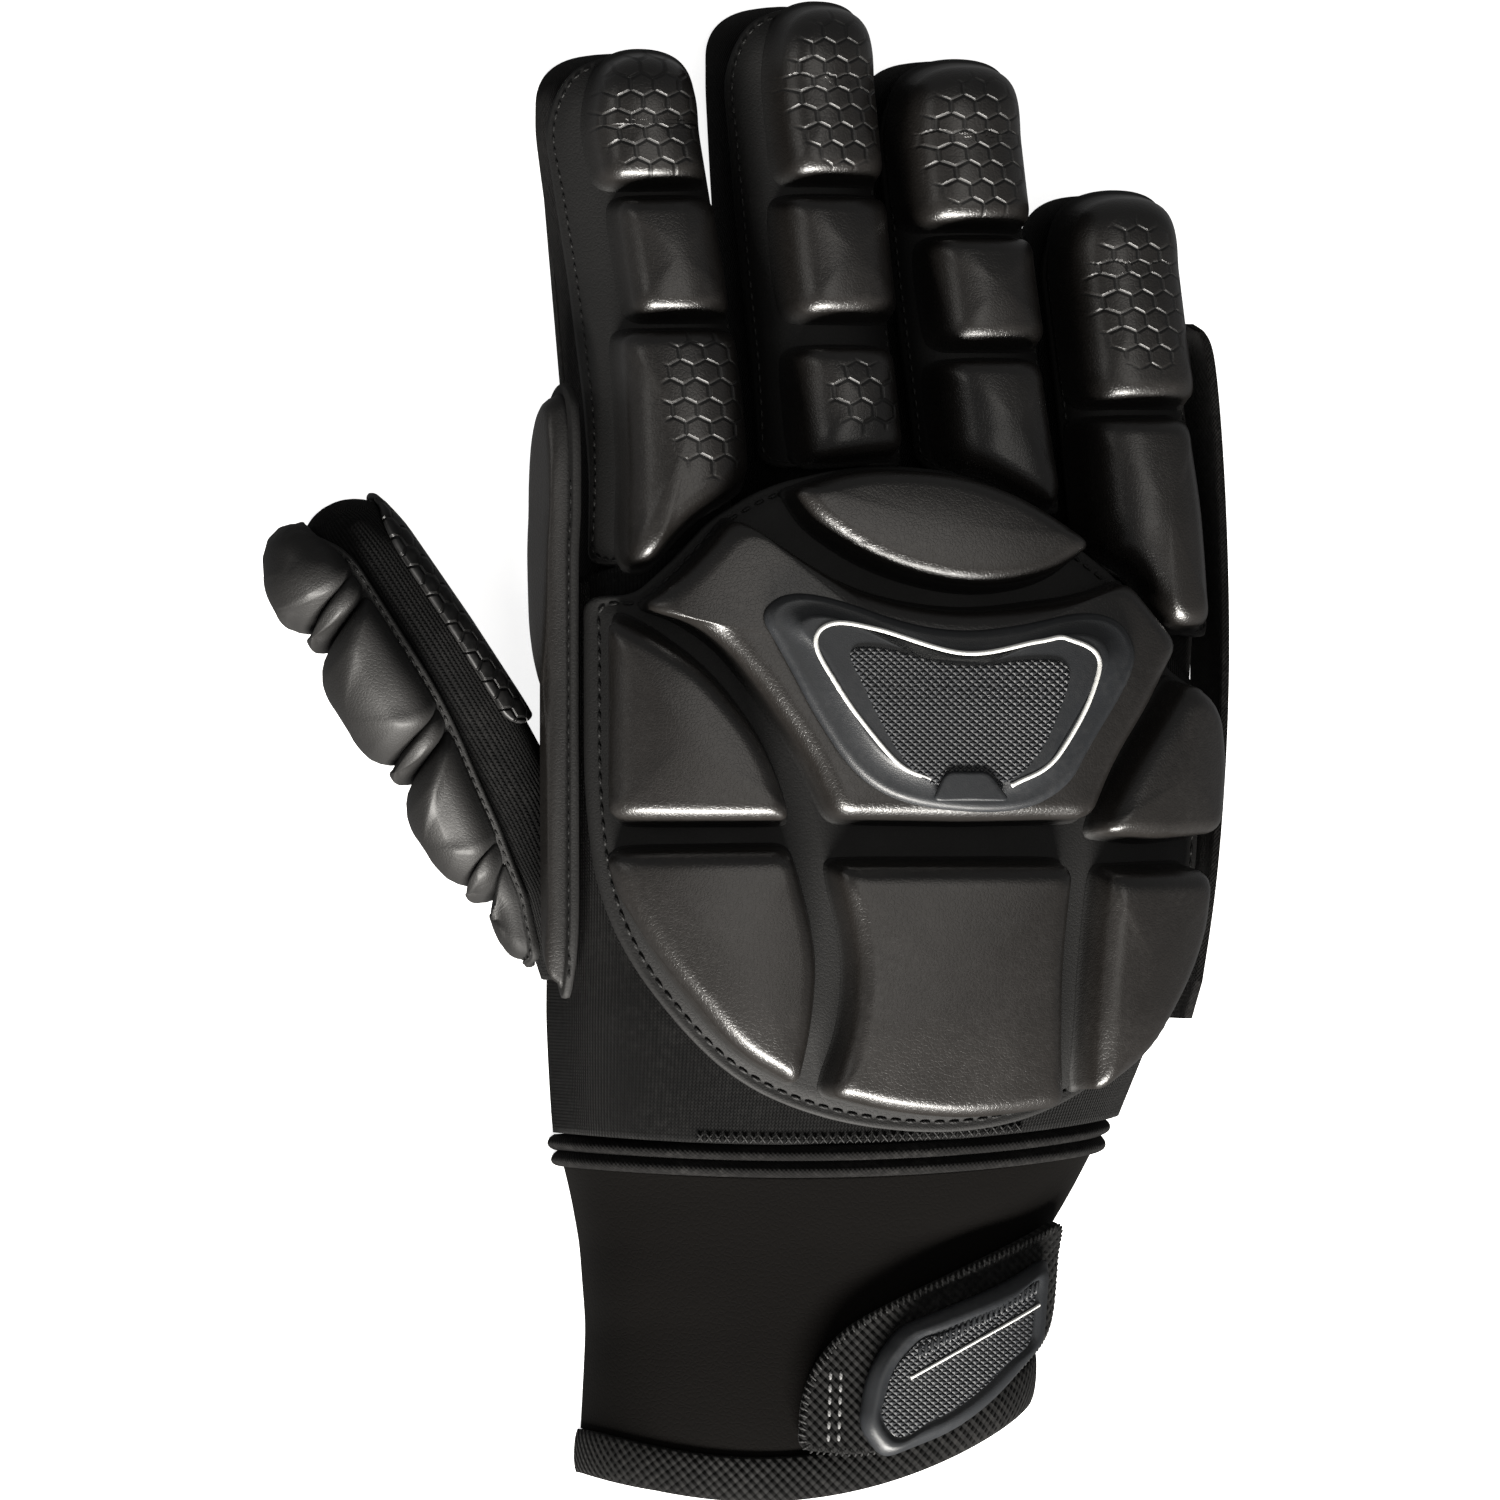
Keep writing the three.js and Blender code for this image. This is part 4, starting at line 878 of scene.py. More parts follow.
# %% Back pad
flange_outline = rounded(BACK_FLANGE, count=420)
sewing_line = [(1.0, FLANGE_TOP), (1.5, FLANGE_TOP - 0.3), (2.0, FLANGE_TOP - 0.3), (2.5, FLANGE_TOP)]
flange = ring_body(HAND.over, flange_outline, edge_profile(FLANGE_LOW, FLANGE_TOP) + sewing_line,
                   FLANGE_TOP, rings=34)
back_bodies = [flange]
for outline in BACK_BLOCKS.values():
    profile = shoulder_profile(BLOCK_FOOT, FLANGE_TOP, BACK_TOP)
    back_bodies.append(ring_body(HAND.over, rounded(outline), profile, BACK_TOP, crown=0.45))
pad_back = make("pad_back", back_bodies, PAD_SKIN, ["back_pad"])
sewn = [stitches(HAND.over, inset_path(flange_outline, 1.75), FLANGE_TOP - 0.22, 2.6, 1.9, 0.34)]
make("thread_back", sewn, THREAD)

# %% [markdown]
# ## Finger pads
# Each finger has its own moulding, sewn on like the back pad: two or three blocks with a groove over each
# joint. The foam rises at right angles to the middle of the finger, so the blocks stay square.

# %% Finger pads
finger_threads = []
for name, finger in FINGERS.items():
    hem_x, hem_y = np.array(finger.hem, float).T
    places = np.linspace(-finger.left, finger.right, 5)
    lower = [(float(a), float(np.interp(a, hem_x, hem_y)), 2.5) for a in places]
    ends = [(finger.right, finger.tip - TIP_ROUND, 7), (finger.right * 0.62, finger.tip - 0.9, 6),
            (-finger.left * 0.62, finger.tip - 0.9, 6), (-finger.left, finger.tip - TIP_ROUND, 7)]
    around = rounded(lower + ends, count=260)
    rim = edge_profile(FLANGE_LOW, FLANGE_TOP) + [(0.7, FLANGE_TOP - 0.2), (1.1, FLANGE_TOP - 0.2)]
    bodies = [ring_body(finger.surface.over, around, rim, FLANGE_TOP, rings=22)]
    for outline, patch in zip(finger.blocks, finger.emboss):
        profile = shoulder_profile(BLOCK_FOOT, FLANGE_TOP, FINGER_TOP, 3.2)
        block = ring_body(finger.surface.over, rounded(outline, count=180), profile, FINGER_TOP,
                          rings=14, crown=0.5)
        bodies.append(embossed(block, patch))
    pad = make("pad_" + name, bodies, PAD_SKIN, [name + "_pad"])
    row = inset_path(around, 0.9)
    finger_threads.append(stitches(finger.surface.over, row, FLANGE_TOP - 0.15, 2.0, 1.4, 0.26))
make("thread_fingers", finger_threads, THREAD)

# %% [markdown]
# ## Stretch fabric of the hand and fingers
# Under the pads is a close-fitting fabric. It is made as a wall: a grid on the arch, a second grid inside
# it, and rims between them. A few shallow folds, from slow waves, keep it from looking like plastic.

# %% Fabric
CLOTH_FLOOR = 0.9                      # the fabric goes no lower than this, inside the palm leather


def folds(u, v, depth, seed):
    """Soft dents: a sum of a few slanted sine waves with fixed phases."""
    rng = np.random.default_rng(seed)
    total = np.zeros(np.broadcast(u, v).shape)
    for _ in range(5):
        a, b, phase = rng.uniform(-0.12, 0.12), rng.uniform(0.05, 0.2), rng.uniform(0, 6.28)
        total += np.sin(a * u + b * v + phase)
    return depth * total / 5


def roof(surface, lines, columns, wall, fold, seed, mid_y, floor=None, end=999.0):
    """A wall on an arch. lines are functions that give a row's Y for a given X. Near the end, where a
    stall closes, the folds fade out and the inner side stops short."""
    angles, girth = even_angles(surface, mid_y, columns)
    grids = []
    for lift in (0.0, -wall):
        rows = []
        for line in lines:
            x = surface.point(angles, line(np.zeros(columns)) + 0 * angles)[:, 0]
            y = np.minimum(line(x), end - (0.0 if lift == 0 else 3.0))
            off = lift + folds(angles * 30, y, fold, seed) * np.clip((end - y) / 8 - 0.4, 0, 1)
            rows.append(surface.on(angles, y, off))
        grids.append(np.array(rows))
    if floor is not None:
        for grid in grids:
            grid[..., 2] = np.maximum(grid[..., 2], floor)
    along = np.cumsum(np.r_[0, np.linalg.norm(np.diff(grids[0][:, columns // 2], axis=0), axis=1)])
    u = np.broadcast_to(np.linspace(0, girth, columns), (len(lines), columns))
    v = np.broadcast_to(along[:, None], (len(lines), columns))
    return shell(grids[0], grids[1], np.stack([u, v], -1)), girth, along[-1]


def mixed_line(low, high, share):
    """A line a share of the way from one line to another."""
    return lambda x: low(x) * (1 - share) + high(x) * share


hand_foot, hand_end = (lambda x: wrist_line(x) + 0.2), (lambda x: knuckle_line(x) + 1.5)
hand_lines = [mixed_line(hand_foot, hand_end, s) for s in np.linspace(0, 1, 90)]
hand_wall, girth, length = roof(HAND, hand_lines, 150, FABRIC, 0.35, 3, 0, floor=CLOTH_FLOOR)
cloth_hand = make("cloth_hand", [hand_wall], RIB_FABRIC, ["hand_sleeve"])

for name, finger in FINGERS.items():
    bend = finger.tip - TIP_ROUND
    straight = [mixed_line(lambda x: knuckle_line(x) - 0.5, lambda x: bend + 0 * x, s)
                for s in np.linspace(0, 1, 56)]
    rounds = bend + TIP_ROUND * np.sin(np.linspace(0, np.pi / 2, 18))[1:]
    curved = [lambda x, y=y: y + 0 * x for y in rounds]
    wall, girth, length = roof(finger.surface, straight + curved, 64, FABRIC, 0.25, 11, finger.tip - 25,
                               CLOTH_FLOOR, finger.tip)
    cloth = make("cloth_" + name, [wall], PLAIN_FABRIC, [name + "_sleeve"])

# %% [markdown]
# ## Palm
# The palm is one piece of thin leather, cut to the outline of the hand and fingers. It lies flat, so its
# top and bottom are plain faces, and a small rounded edge runs round it.

# %% Palm outline
palm_outline = [(-31.6, -40, 9), (-32, 24, 9)]
for finger in FINGERS.values():
    first, last = finger.rows[1], finger.rows[-1]
    palm_outline += [(first[1] - first[2] + 0.8, first[0], 3), (last[1] - last[2] + 0.8, last[0], 8),
                     (last[1] - 7, finger.tip - 0.3, 4), (last[1] + 7, finger.tip - 0.3, 4),
                     (last[1] + last[2] - 0.8, last[0], 8), (first[1] + first[2] - 0.8, first[0], 3)]
palm_outline[-1:] = [(78, 66, 8), (81, 42, 9), (81.2, 20, 9)]
palm_outline += [(80, 10, 9), (78, -20, 9), (73, -45, 9)]
palm_outline += [(x, float(wrist_line(x)) + 0.3) for x in (64.5, 42, 18, -6, -29.5)]
around = rounded(palm_outline, 2.0, 900)
print("palm outline: %d points" % len(around))

# %% [markdown]
# The leather is 1.4 mm thick. Its two faces are flat, so each can be one face with many corners, and only
# the rounded edge needs rings: a step in or out along the outline's normal, and a height, for each.

# %% Palm panel
tangent = np.roll(around, -1, 0) - np.roll(around, 1, 0)
normal = np.stack([tangent[:, 1], -tangent[:, 0]], -1)
normal /= np.linalg.norm(tangent, axis=1, keepdims=True)
rings = [(0.45, 0.0), (0.12, 0.2), (0.0, 0.7), (0.12, 1.2), (0.45, 1.4)]
loops = np.array([flat_over(*(around + normal * inset).T, np.full(len(around), z)) for inset, z in rings])
count = len(around)
palm_mesh = bpy.data.meshes.new("leather_palm")
palm_faces = ring_quads(len(rings), count).tolist()
palm_faces += [list(range(count))[::-1], [(len(rings) - 1) * count + k for k in range(count)]]
palm_mesh.from_pydata(((loops.reshape(-1, 3) + CENTRE) * MM).tolist(), [], palm_faces)
palm_mesh.materials.append(PALM_LEATHER)
uv_map = palm_mesh.uv_layers.new(name="flat")
corners = np.zeros(len(palm_mesh.loops), dtype=np.int32)
palm_mesh.loops.foreach_get("vertex_index", corners)
uv_map.data.foreach_set("uv", (loops.reshape(-1, 3)[corners, :2] * MM).astype(np.float32).ravel())
leather_palm = bpy.data.objects.new("leather_palm", palm_mesh)
bpy.context.scene.collection.objects.link(leather_palm)
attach(leather_palm, "root")
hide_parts("palm_panel")
print("palm:", len(palm_faces), "faces, cut area %.0f cm2" % (cut_area(around) * 1e4))

# %% [markdown]
# ## Badge
# A rubber plate sits in the middle block. Its raised rim, the step inside it and its face are one profile
# carried round the outline, like the steps of a coin, so no part has to be cut out of another.

# %% Badge plate
BADGE_LOW = BACK_TOP + 0.5
BADGE_TOP = BADGE_LOW + 2.3
plate_profile = [(0.6, BADGE_LOW - 0.6), (0.0, BADGE_LOW), (0.1, BADGE_LOW + 0.7), (0.9, BADGE_TOP - 0.9),
                 (1.6, BADGE_TOP - 0.8), (4.6, BADGE_TOP - 0.9), (5.0, BADGE_TOP - 0.3),
                 (5.3, BADGE_TOP - 0.1), (6.2, BADGE_TOP - 0.1)]
plate = ring_body(HAND.over, rounded(BADGE, count=300), plate_profile, BADGE_TOP - 0.15, rings=14)
make("badge_plate", [plate], RUBBER, ["back_badge"])

# %% [markdown]
# A thin light line runs round the plate's face, and a field of small diamonds fills it. The line is a
# half-round bead carried along a smooth curve through a few points. The field is a low body of its own,
# because then the diamonds, which are in its material, end in a clean edge.

# %% Badge line and grip
LINE = [(21.5, -5), (15, -1.5), (5, 11), (2, 17.5), (5, 20.5), (12.5, 19.5), (27.5, 15.5), (39.5, 17.5),
        (44.5, 18), (49.5, 13.5), (42.5, -1), (35, -6)]
FIELD = [(6.2, 16.6, 4), (12.5, 17, 4), (27.5, 13.2, 9), (39.5, 15.2, 8), (46, 14, 5), (40, -1.5, 6),
         (33, -7, 5), (21, -6.5, 6), (15.6, -1, 6)]
FOOT = [(21.6, -8.6, 1.5), (24, -3.6, 1.5), (31.2, -3.6, 1.5), (34.8, -8.6, 1.5)]


def smooth_path(points, count):
    """A curve through the points: each of its pieces is a cubic that leaves along the chord of its
    neighbours."""
    p = np.asarray(points, float)
    p = np.vstack([2 * p[0] - p[1], p, 2 * p[-1] - p[-2]])
    pieces = len(p) - 3
    t = np.linspace(0, pieces, count)
    k = np.minimum(t.astype(int), pieces - 1)
    s = (t - k)[:, None]
    a, b, c, d = p[k], p[k + 1], p[k + 2], p[k + 3]
    square, cube = 2 * a - 5 * b + 4 * c - d, 3 * b - a - 3 * c + d
    return 0.5 * (2 * b + (c - a) * s + square * s ** 2 + cube * s ** 3)


def bead(surface, path, lift, wide, high, sides=10):
    """A half-round bead carried along a drawn path on a surface."""
    step = np.gradient(path, axis=0)
    across = np.stack([-step[:, 1], step[:, 0]], -1)
    across /= np.linalg.norm(across, axis=1, keepdims=True) + 1e-9
    turn = np.linspace(0, 2 * np.pi, sides, endpoint=False)
    sideways, upwards = np.cos(turn) * wide / 2, np.sin(turn) * high
    flat = path[:, None] + across[:, None] * sideways[None, :, None]
    points = surface(flat[..., 0], flat[..., 1], lift + upwards[None] + 0 * flat[..., 0])
    return closed_rings(points, np.array([points[0].mean(0), points[-1].mean(0)]), flat, path[0])


line = bead(HAND.over, smooth_path(LINE, 260), BADGE_TOP - 0.15, 0.75, 0.28)
make("badge_line", [line], WHITE_LINE)
FIELD_TOP, FOOT_TOP = BADGE_TOP + 0.1, BADGE_TOP + 0.65
field = ring_body(HAND.over, inset_path(rounded(FIELD), 0.2), edge_profile(BADGE_TOP - 0.6, FIELD_TOP, 0.2),
                  FIELD_TOP, rings=12)
make("badge_field", [field], KNURL)
foot_tab = ring_body(HAND.over, rounded(FOOT, count=120), edge_profile(BADGE_TOP - 0.4, FOOT_TOP, 0.3),
                     FOOT_TOP, rings=6)
make("badge_foot", [foot_tab], RUBBER)

# %% [markdown]
# ## Thumb
# The thumb lies beside the hand: a fabric stall, a leather panel on its inner side, and a foam strip on
# its outer side. The stall is a grid round the slanted axis. At its root, the points that would enter the
# hand are held at the hand's side, which is simpler than cutting one shape with the other.

# %% Thumb stall
turn = np.linspace(0, 2 * np.pi, 90, endpoint=False)
stations = np.r_[np.linspace(0.05, 5, 14)[:-1], np.linspace(5, 92, 90)]
angle_grid, t_grid = np.meshgrid(turn, stations)
dents = folds(angle_grid * 8, t_grid, 0.25, 5)
outer = thumb_on(angle_grid, t_grid, dents)
inner = thumb_on(angle_grid, np.maximum(t_grid, 2.0), dents - FABRIC)
inside_hand = HAND.point(np.array([np.pi]), np.array([0.0]))[0, 0] + 1.0
for grid in (outer, inner):
    grid[..., 0] = np.minimum(grid[..., 0], inside_hand)
thumb_wall = shell(outer, inner, np.stack([angle_grid * THUMB_GIRTH, t_grid], -1), wrap=True)
cloth_thumb = make("cloth_thumb", [thumb_wall], RIB_FABRIC, ["thumb_sleeve"])

# %% [markdown]
# The foam strip is one moulding of four segments, parted by slanted double creases. Each segment is a body
# with a bulging shoulder, and a second, low one at its lower end makes the double crease. They could be one
# surface with dents, but separate bodies keep the creases sharp.

# %% Thumb pad
THUMB_SEAT = 1.9
upper, root_upper, lower = 9.5, 3.0, -6.0
edge = 1.6
upper_at = lambda t: upper + (root_upper - upper) * (max(t, 40) - 40) / 48
flange = [(lower - edge, 6, 6), (lower - edge, 90), (root_upper + edge, 88), (upper_at(66) + edge, 66, 9),
          (upper + edge, 40, 9), (upper + edge, 6, 6), (4.5, 2.1, 4), (-3, 2.1, 4)]
slant_at = lambda arc, t: t + 0.55 * (upper - arc)
cross = lambda t: [(upper_at(t), t, 2), (2, slant_at(2, t), 8), (lower, slant_at(lower, t), 2)]
flange_outline = rounded(flange, count=300)
thumb_bodies = [ring_body(thumb_over, flange_outline, edge_profile(0.3, THUMB_SEAT, 0.3), THUMB_SEAT,
                          rings=14)]
creases = [15, 42, 67.5, 90]
tip_edge = [(upper - 0.5, 5.8, 4), (5, 2.3, 4), (-2, 2.3, 4), (lower + 0.5, 5.8, 4)]
root_edge = [(lower, 88), (root_upper, 86)]
BULGE = np.array([(0.4, 0.8), (-0.6, 1.9), (-0.3, 2.6), (-0.1, 3.6), (0.3, 4.8), (0.9, 6.0), (1.8, 7.0),
                  (3.0, 7.8)])


def segment(outline, share, spread):
    """A bulging foam segment: share scales its height above the flange, spread its shoulder's width."""
    above = BULGE[:, 1] - THUMB_SEAT
    lifts = THUMB_SEAT + above * np.where(above > 0, share, 1.0)
    profile = list(zip(BULGE[:, 0] * spread, lifts))
    body = ring_body(thumb_over, rounded(outline, 2.6 * spread, 160), profile, lifts[-1] + 0.1, rings=14,
                     crown=1.2 * share)
    # Painted shade: with three tenths of the rise, the thumb's foam is darker all over than the other pads,
    # and duller.
    body.rise = body.rise * 0.3
    return body


for i, crease in enumerate(creases):
    near = tip_edge if i == 0 else cross(creases[i - 1] + 0.9)
    if crease < 90:
        thumb_bodies.append(segment(near + cross(crease - 3.6)[::-1], 1.0, 1.0))
        thumb_bodies.append(segment(cross(crease - 4.2) + cross(crease + 0.3)[::-1], 0.7, 0.5))
    else:
        thumb_bodies.append(segment(near + root_edge, 0.45, 1.0))
for body in thumb_bodies:
    body.points[:, 0] = np.minimum(body.points[:, 0], inside_hand - 0.6)
    body.points[:, 2] = np.maximum(body.points[:, 2], 0.3)
pad_thumb = make("pad_thumb", thumb_bodies, PAD_SKIN, ["thumb_pad"])
row = inset_path(flange_outline, 0.8)
make("thread_thumb", [stitches(thumb_over, row, THUMB_SEAT, 2.0, 1.4, 0.24)], THREAD)

# %% [markdown]
# The inner side of the thumb wears most, so it has leather with a pressed net of hexagons. The panel is an
# outline on the thumb's surface, measured by the way round it, as it would be cut and sewn.

# %% Thumb leather
half = np.pi * 0.36
arcs = [(np.pi - half) * THUMB_GIRTH, (np.pi + half) * THUMB_GIRTH]
leather = [(arcs[0], 8, 7), (arcs[0], 50, 5), (arcs[1], 50, 5), (arcs[1], 8, 7), (arcs[1] - 7, 3.6, 4),
           (arcs[0] + 7, 3.6, 4)]
panel = ring_body(thumb_over, rounded(leather, count=240), edge_profile(0.3, 1.5, 0.3), 1.5, rings=16)
panel.points[:, 0] = np.minimum(panel.points[:, 0], inside_hand - 0.3)
leather_thumb = make("leather_thumb", [panel], HEX_LEATHER, ["thumb_leather"])

# %% [markdown]
# ## Strips on the two sides
# The index side has a long foam strip under the edge of the back pad: a flange with one raised form, which
# is wider near the knuckle. Both are outlines carried on a steep surface, so the pads' helpers serve here.

# %% Index side pad
side_flange = [(62, 2, 4), (54, 0, 6), (-34, 0, 9), (-43, 4), (-40, 6.6, 4), (10, 6.6, 6), (18, 15, 8),
               (54, 15, 8), (62, 9, 5)]
side_rise = [(60, 4), (53, 2, 6), (-32, 2, 9), (-40.6, 4), (-38, 5.8, 3), (11, 5.8, 6), (19, 13.8, 8),
             (53, 13.8, 8), (60, 9, 4)]
rise_profile = [(0.2, 2.6), (-0.3, 2.9), (0.1, 3.4), (0.5, 4.4), (1.1, 5.2), (1.9, 5.7), (2.6, 5.85)]
side_bodies = [ring_body(side_over, rounded(side_flange, count=260), edge_profile(1.4, 2.9), 2.9),
               ring_body(side_over, rounded(side_rise, count=260), rise_profile, 5.9, crown=0.2)]
pad_side = make("pad_side", side_bodies, PAD_SKIN, ["index_side_pad"])
seam_row = np.stack([np.linspace(-39, 46, 60), np.full(60, 1.0)], -1)
side_thread = stitches(side_over, seam_row, 2.85, 2.4, 1.6, 0.28, closed=False)
make("thread_side", [side_thread], THREAD)

# %% [markdown]
# The little finger side has a flat strip that stands on edge. It could be a bent plane with a thickness,
# but its ends are cut slanting, so a small upright section is carried along the path instead, a little
# lower at both ends. The section's eight corners are given as a step out and a share of the height.

# %% Little finger side guard
GUARD_POINTS = 160
guard_path = smooth_path([(76.4, 73), (79.2, 66), (81.2, 40), (81.6, 10), (79.7, -20), (75.9, -46)],
                         GUARD_POINTS)
low, high, wall = 1.9, 20.0, 1.6
place = np.linspace(0, 1, GUARD_POINTS)
cut = np.clip((place - 0.95) / 0.05, 0, 1) * 3 + np.clip((0.06 - place) / 0.06, 0, 1) ** 2 * 4
strip = []
for out, share in [(0.2, 0), (0, 0.03), (0, 0.97), (0.2, 1),
                   (wall - 0.2, 1), (wall, 0.97), (wall, 0.03), (wall - 0.2, 0)]:
    z = (low + cut) * (1 - share) + (high - cut) * share
    strip.append(np.stack([guard_path[:, 0] + out, guard_path[:, 1], z], -1))
strip = np.stack(strip, 1)
way_round = np.array([0, 0.5, 17.6, 18.1, 19.6, 20.2, 37.3, 37.8])
way = np.cumsum(np.r_[0, np.linalg.norm(np.diff(guard_path, axis=0), axis=1)])
flat = np.stack(np.broadcast_arrays(way_round[None, :], way[:, None]), -1).astype(float)
guard_body = closed_rings(strip, np.array([strip[0].mean(0), strip[-1].mean(0)]), flat, np.zeros(2))
cloth_guard = make("cloth_guard", [guard_body], PLAIN_FABRIC, ["little_side_guard"],
                   smooth=False)

# %% [markdown]
# ## Wrist seam, cuff and hem
# The cuff is a tube of neoprene that lies flattened. A double roll of fabric joins it to the hand, and a
# bound hem ends it. All three are rings round one flattened arch whose foot lies on the floor, so one
# helper makes them, and they meet without a gap.

# %% Bands round the wrist
def band(surface, rows, columns, wall, mid_y, fold=0.0, seed=1):
    """A closed tube with a flat underside. rows are (line, lift) pairs: a ring's Y by X, and its lift."""
    angles, _ = even_angles(surface, mid_y, columns)
    grids = []
    for inner in (False, True):
        floor = wall if inner else 0.0
        rings = []
        for line, lift in rows:
            x = surface.point(angles, line(np.zeros(columns)) + 0 * angles)[:, 0]
            y = line(x)
            top = surface.on(angles, y, -wall if inner else lift + folds(angles * 26, y, fold, seed))
            top[:, 2] = np.maximum(top[:, 2], floor)
            x_low = np.linspace(top[-1, 0], top[0, 0], columns // 2)[1:-1]
            low = np.stack([x_low, line(x_low), np.full_like(x_low, floor)], -1)
            rings.append(np.vstack([top, low]))
        grids.append(np.array(rings))
    around_u = np.r_[0, np.cumsum(np.linalg.norm(np.diff(grids[0][len(rows) // 2], axis=0), axis=1))]
    along = np.cumsum(np.r_[0, np.linalg.norm(np.diff(grids[0][:, columns // 2], axis=0), axis=1)])
    uv = np.stack(np.broadcast_arrays(around_u[None, :], along[:, None]), -1).astype(float)
    return shell(grids[0], grids[1], uv, wrap=True), around_u[-1], along[-1]


print("cuff girth in its middle: %.0f mm over the top" % even_angles(CUFF, -95, 9)[1])

# %% [markdown]
# The seam is two rolls side by side: the lift follows a sine that goes up twice. Crossed stitches run
# along it on the hand's side, as slanted capsules in two rows that lie over each other.

# %% Wrist seam
seam_rows = []
for s in np.linspace(0, 1, 33):
    roll = SEAM_ROLL * max(0.05, abs(np.sin(2 * np.pi * s))) ** 0.6
    seam_rows.append((mixed_line(wrist_line, lambda x: wrist_line(x) - SEAM_WIDTH, s), roll))
seam_body, girth, length = band(CUFF, seam_rows, 150, SEAM_WALL, -70)
cloth_seam = make("cloth_seam", [seam_body], PLAIN_FABRIC, ["wrist_seam"])
zigzag = np.stack([np.linspace(-14, 44, 60), wrist_line(np.linspace(-14, 44, 60)) + 1.2], -1)
crossed = [stitches(HAND.over, zigzag, 0.35, 1.5, 2.0, 0.2, closed=False, slant=k) for k in (0.9, -0.9)]
make("thread_wrist", crossed, THREAD)

# %% [markdown]
# Neoprene bends in wide, soft waves and doesn't fray, so the cuff is the plain arch with a few slow folds.
# It tucks a little under the seam and stops at the hem.

# %% Cuff
hem_top = lambda x: hem_line(x) + HEM_WIDTH
cuff_top = lambda x: wrist_line(x) - SEAM_WIDTH + 0.2
cuff_rows = [(mixed_line(cuff_top, lambda x: hem_top(x) + 0.1, s), 0.0) for s in np.linspace(0, 1, 80)]
cuff_body, girth, length = band(CUFF, cuff_rows, 170, CUFF_WALL, -95, fold=0.5, seed=4)
cloth_cuff = make("cloth_cuff", [cuff_body], NEOPRENE, ["cuff"])
print("cuff girth %.0f mm, length %.0f mm" % (girth, length))

# %% [markdown]
# The hem is a tape folded over the cuff's edge. It stands a millimetre proud of the neoprene with two
# rounded edges, which a flattened sine gives.

# %% Hem
hem_rows = []
for s in np.linspace(0, 1, 24):
    roll = 0.2 + 0.9 * np.sin(np.pi * np.clip(s, 0.02, 0.98)) ** 0.3
    hem_rows.append((mixed_line(hem_top, hem_line, s), roll))
hem_body, hem_girth, hem_length = band(CUFF, hem_rows, 170, CUFF_WALL, -120)
cloth_hem = make("cloth_hem", [hem_body], WEBBING, ["cuff_hem"])

# %% [markdown]
# ## Strap and tab
# A webbing strap closes the cuff. It is cut to an outline and overlocked round its edge, so it is a thin
# body on the cuff's surface with a row of steep stitches, and two light rows show where it is sewn.

# %% Strap
strap_outline = rounded(STRAP, count=260)
strap_low, strap_top = 1.2, 3.4
strap_body = ring_body(CUFF.over, strap_outline, edge_profile(strap_low, strap_top, 0.4), strap_top, rings=22)
cloth_strap = make("cloth_strap", [strap_body], WEBBING, ["strap"])
print("strap: cut area %.1f cm2" % (cut_area(strap_outline) * 1e4))
overlock = stitches(CUFF.over, inset_path(strap_outline, 0.5), strap_top - 0.2, 1.1, 1.9, 0.3, slant=1.2)
light_rows = [stitches(CUFF.over, np.array([(x, -104.8), (x - 0.3, -117.2)]), strap_top + 0.1, 1.9, 1.5, 0.3,
                       closed=False) for x in (9.8, 11.6)]
make("thread_strap", [overlock], THREAD)
make("thread_strap_light", light_rows, GREY_THREAD)

# %% [markdown]
# The rubber tab gives the fingers a hold. Like the badge it has a bevelled rim and a sunk face, and its
# face is a field of small diamonds. Short slanted ridges run across its middle, with a light line below.

# %% Tab
tab_outline = rounded(TAB, count=260)
tab_low, tab_top = 3.6, 6.6
TAB_FACE, GRIP_TOP = tab_top - 0.6, tab_top - 0.35
tab_profile = [(0.4, tab_low), (0.0, tab_low + 0.5), (0.2, tab_low + 1.4), (1.3, tab_top - 0.2),
               (1.9, tab_top), (2.6, tab_top), (2.9, tab_top - 0.5), (3.4, TAB_FACE)]
tab_body = ring_body(CUFF.over, tab_outline, tab_profile, TAB_FACE, rings=14)
make("tab_rim", [tab_body], RUBBER, ["strap_tab"])
grip = ring_body(CUFF.over, inset_path(tab_outline, 3.3), edge_profile(tab_top - 1.0, GRIP_TOP, 0.2), GRIP_TOP,
                 rings=12)
make("tab_grip", [grip], KNURL)
ridge = np.array([(23.6, -102), (44.6, -90.6)])
ridges = stitches(CUFF.over, ridge, tab_top - 0.3, 1.25, 2.6, 0.36, closed=False, slant=1.1)
make("tab_ridges", [ridges], RUBBER)
light_line = resampled(np.array([(22.6, -106.2), (45.4, -93.6)]), 60, False)
make("tab_line", [bead(CUFF.over, light_line, tab_top - 0.3, 0.5, 0.25)], WHITE_LINE)

# %% [markdown]
# ## Floor, light and camera
# The photograph is a plain studio shot. The white ground could be lit until it is white, but then the
# glove, which is nearly black, would be too bright. So the floor gives off light of its own and doesn't
# show in reflections. It lies just under the palm, because two faces in one plane flicker.

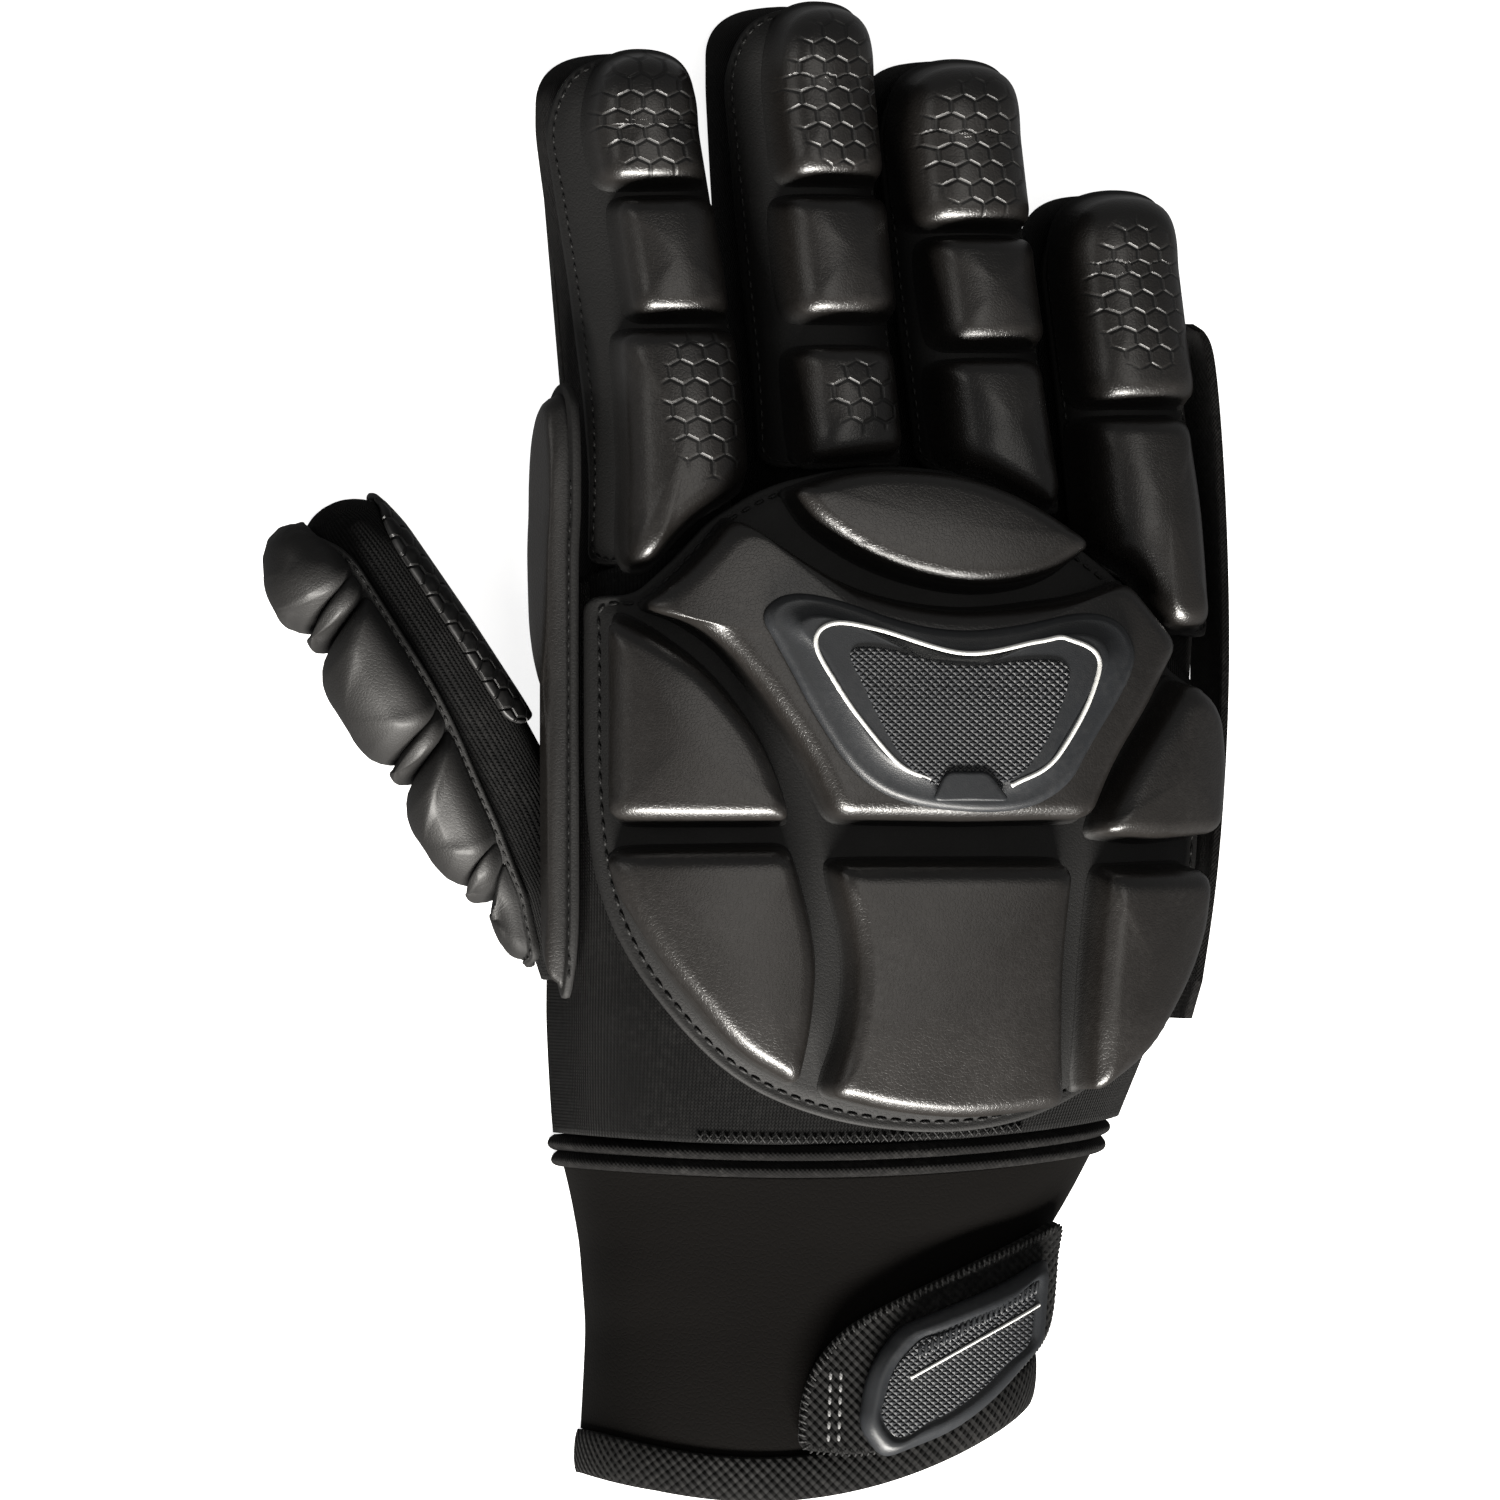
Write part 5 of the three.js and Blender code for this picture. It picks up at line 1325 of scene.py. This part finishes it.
# %% Floor
FLOOR_AT = -0.0004
floor_mesh = bpy.data.meshes.new("floor")
floor_corners = [(x, y, FLOOR_AT) for x, y in ((-3, -3), (3, -3), (3, 3), (-3, 3))]
floor_mesh.from_pydata(floor_corners, [], [(0, 1, 2, 3)])
floor = bpy.data.objects.new("floor", floor_mesh)
bpy.context.scene.collection.objects.link(floor)
paper = bpy.data.materials.new("paper")
paper.use_nodes = True
paper_shader = paper.node_tree.nodes["Principled BSDF"]
paper_shader.inputs["Base Color"].default_value = (0.9, 0.9, 0.9, 1)
paper_shader.inputs["Roughness"].default_value = 0.9
paper_shader.inputs["Emission Color"].default_value = (1, 1, 1, 1)
paper_shader.inputs["Emission Strength"].default_value = 0.85
floor.visible_diffuse = False
floor.visible_glossy = False
floor_mesh.materials.append(paper)
print("floor at %.1f mm" % (FLOOR_AT / MM))

# %% [markdown]
# ## Light
# In the photograph every block has a bright shoulder on its cuff side. So the main light, a wide and flat
# box, stands low beyond the cuff. A weak one from above keeps the tops from going black, and a third from
# the thumb's side shows the edges there. The air adds a little light from all round.

# %% Light
world = bpy.data.worlds.new("studio")
bpy.context.scene.world = world
world.use_nodes = True
world.node_tree.nodes["Background"].inputs[0].default_value = (1, 1, 1, 1)
world.node_tree.nodes["Background"].inputs[1].default_value = 0.18


def area_light(name, place, target, wide, high, power):
    """A soft box that faces a point."""
    lamp = bpy.data.lights.new(name, "AREA")
    lamp.shape, lamp.size, lamp.size_y, lamp.energy = "RECTANGLE", wide, high, power
    lamp.color = (1.0, 0.97, 0.92)
    light = bpy.data.objects.new(name, lamp)
    direction = Vector(target) - Vector(place)
    light.matrix_world = Matrix.Translation(place) @ direction.to_track_quat("-Z", "Y").to_matrix().to_4x4()
    bpy.context.scene.collection.objects.link(light)


area_light("key", (-0.1, -1.0, 0.40), (0, 0, 0.02), 0.8, 0.14, 56.0)
area_light("top", (0.15, 0.1, 1.3), (0, 0, 0), 0.8, 0.8, 2.7)
area_light("side", (-1.0, 0.3, 0.35), (0, 0, 0.02), 0.3, 0.5, 0.8)
print("lights:", ", ".join(light.name for light in bpy.data.lights))

# %% [markdown]
# ## Camera
# The camera looks straight down on the glove, but leans 16 degrees towards the thumb's side. It could be
# turned with angles, but three directions, its right, its up and the way back from the glove, are easier
# to check and make the turn as a matrix. A long lens from far off keeps the shape nearly free of
# perspective.

# %% Camera
LEAN = np.radians(16)
DISTANCE, SENSOR, SEEN = 2.6, 36, 0.2565   # metres, millimetres, and the metres seen across at the glove
AIM_X = 3.5                                # millimetres from the drawing's middle
back = Vector((-np.sin(LEAN), 0, np.cos(LEAN)))
right, up = Vector((np.cos(LEAN), 0, np.sin(LEAN))), Vector((0, 1, 0))
aim = Vector(((AIM_X + CENTRE[0]) * MM, CENTRE[1] * MM, 0.0))
camera_data = bpy.data.cameras.new("camera")
camera_data.sensor_width = SENSOR
camera_data.lens = SENSOR * DISTANCE / SEEN
camera_data.clip_end = 10
camera = bpy.data.objects.new("camera", camera_data)
turned = Matrix((right, up, back)).transposed().to_4x4()
camera.matrix_world = Matrix.Translation(aim + back * DISTANCE) @ turned
bpy.context.scene.collection.objects.link(camera)
bpy.context.scene.camera = camera
bpy.context.scene.view_settings.view_transform = "Standard"
print("camera at", [round(v, 3) for v in camera.location])
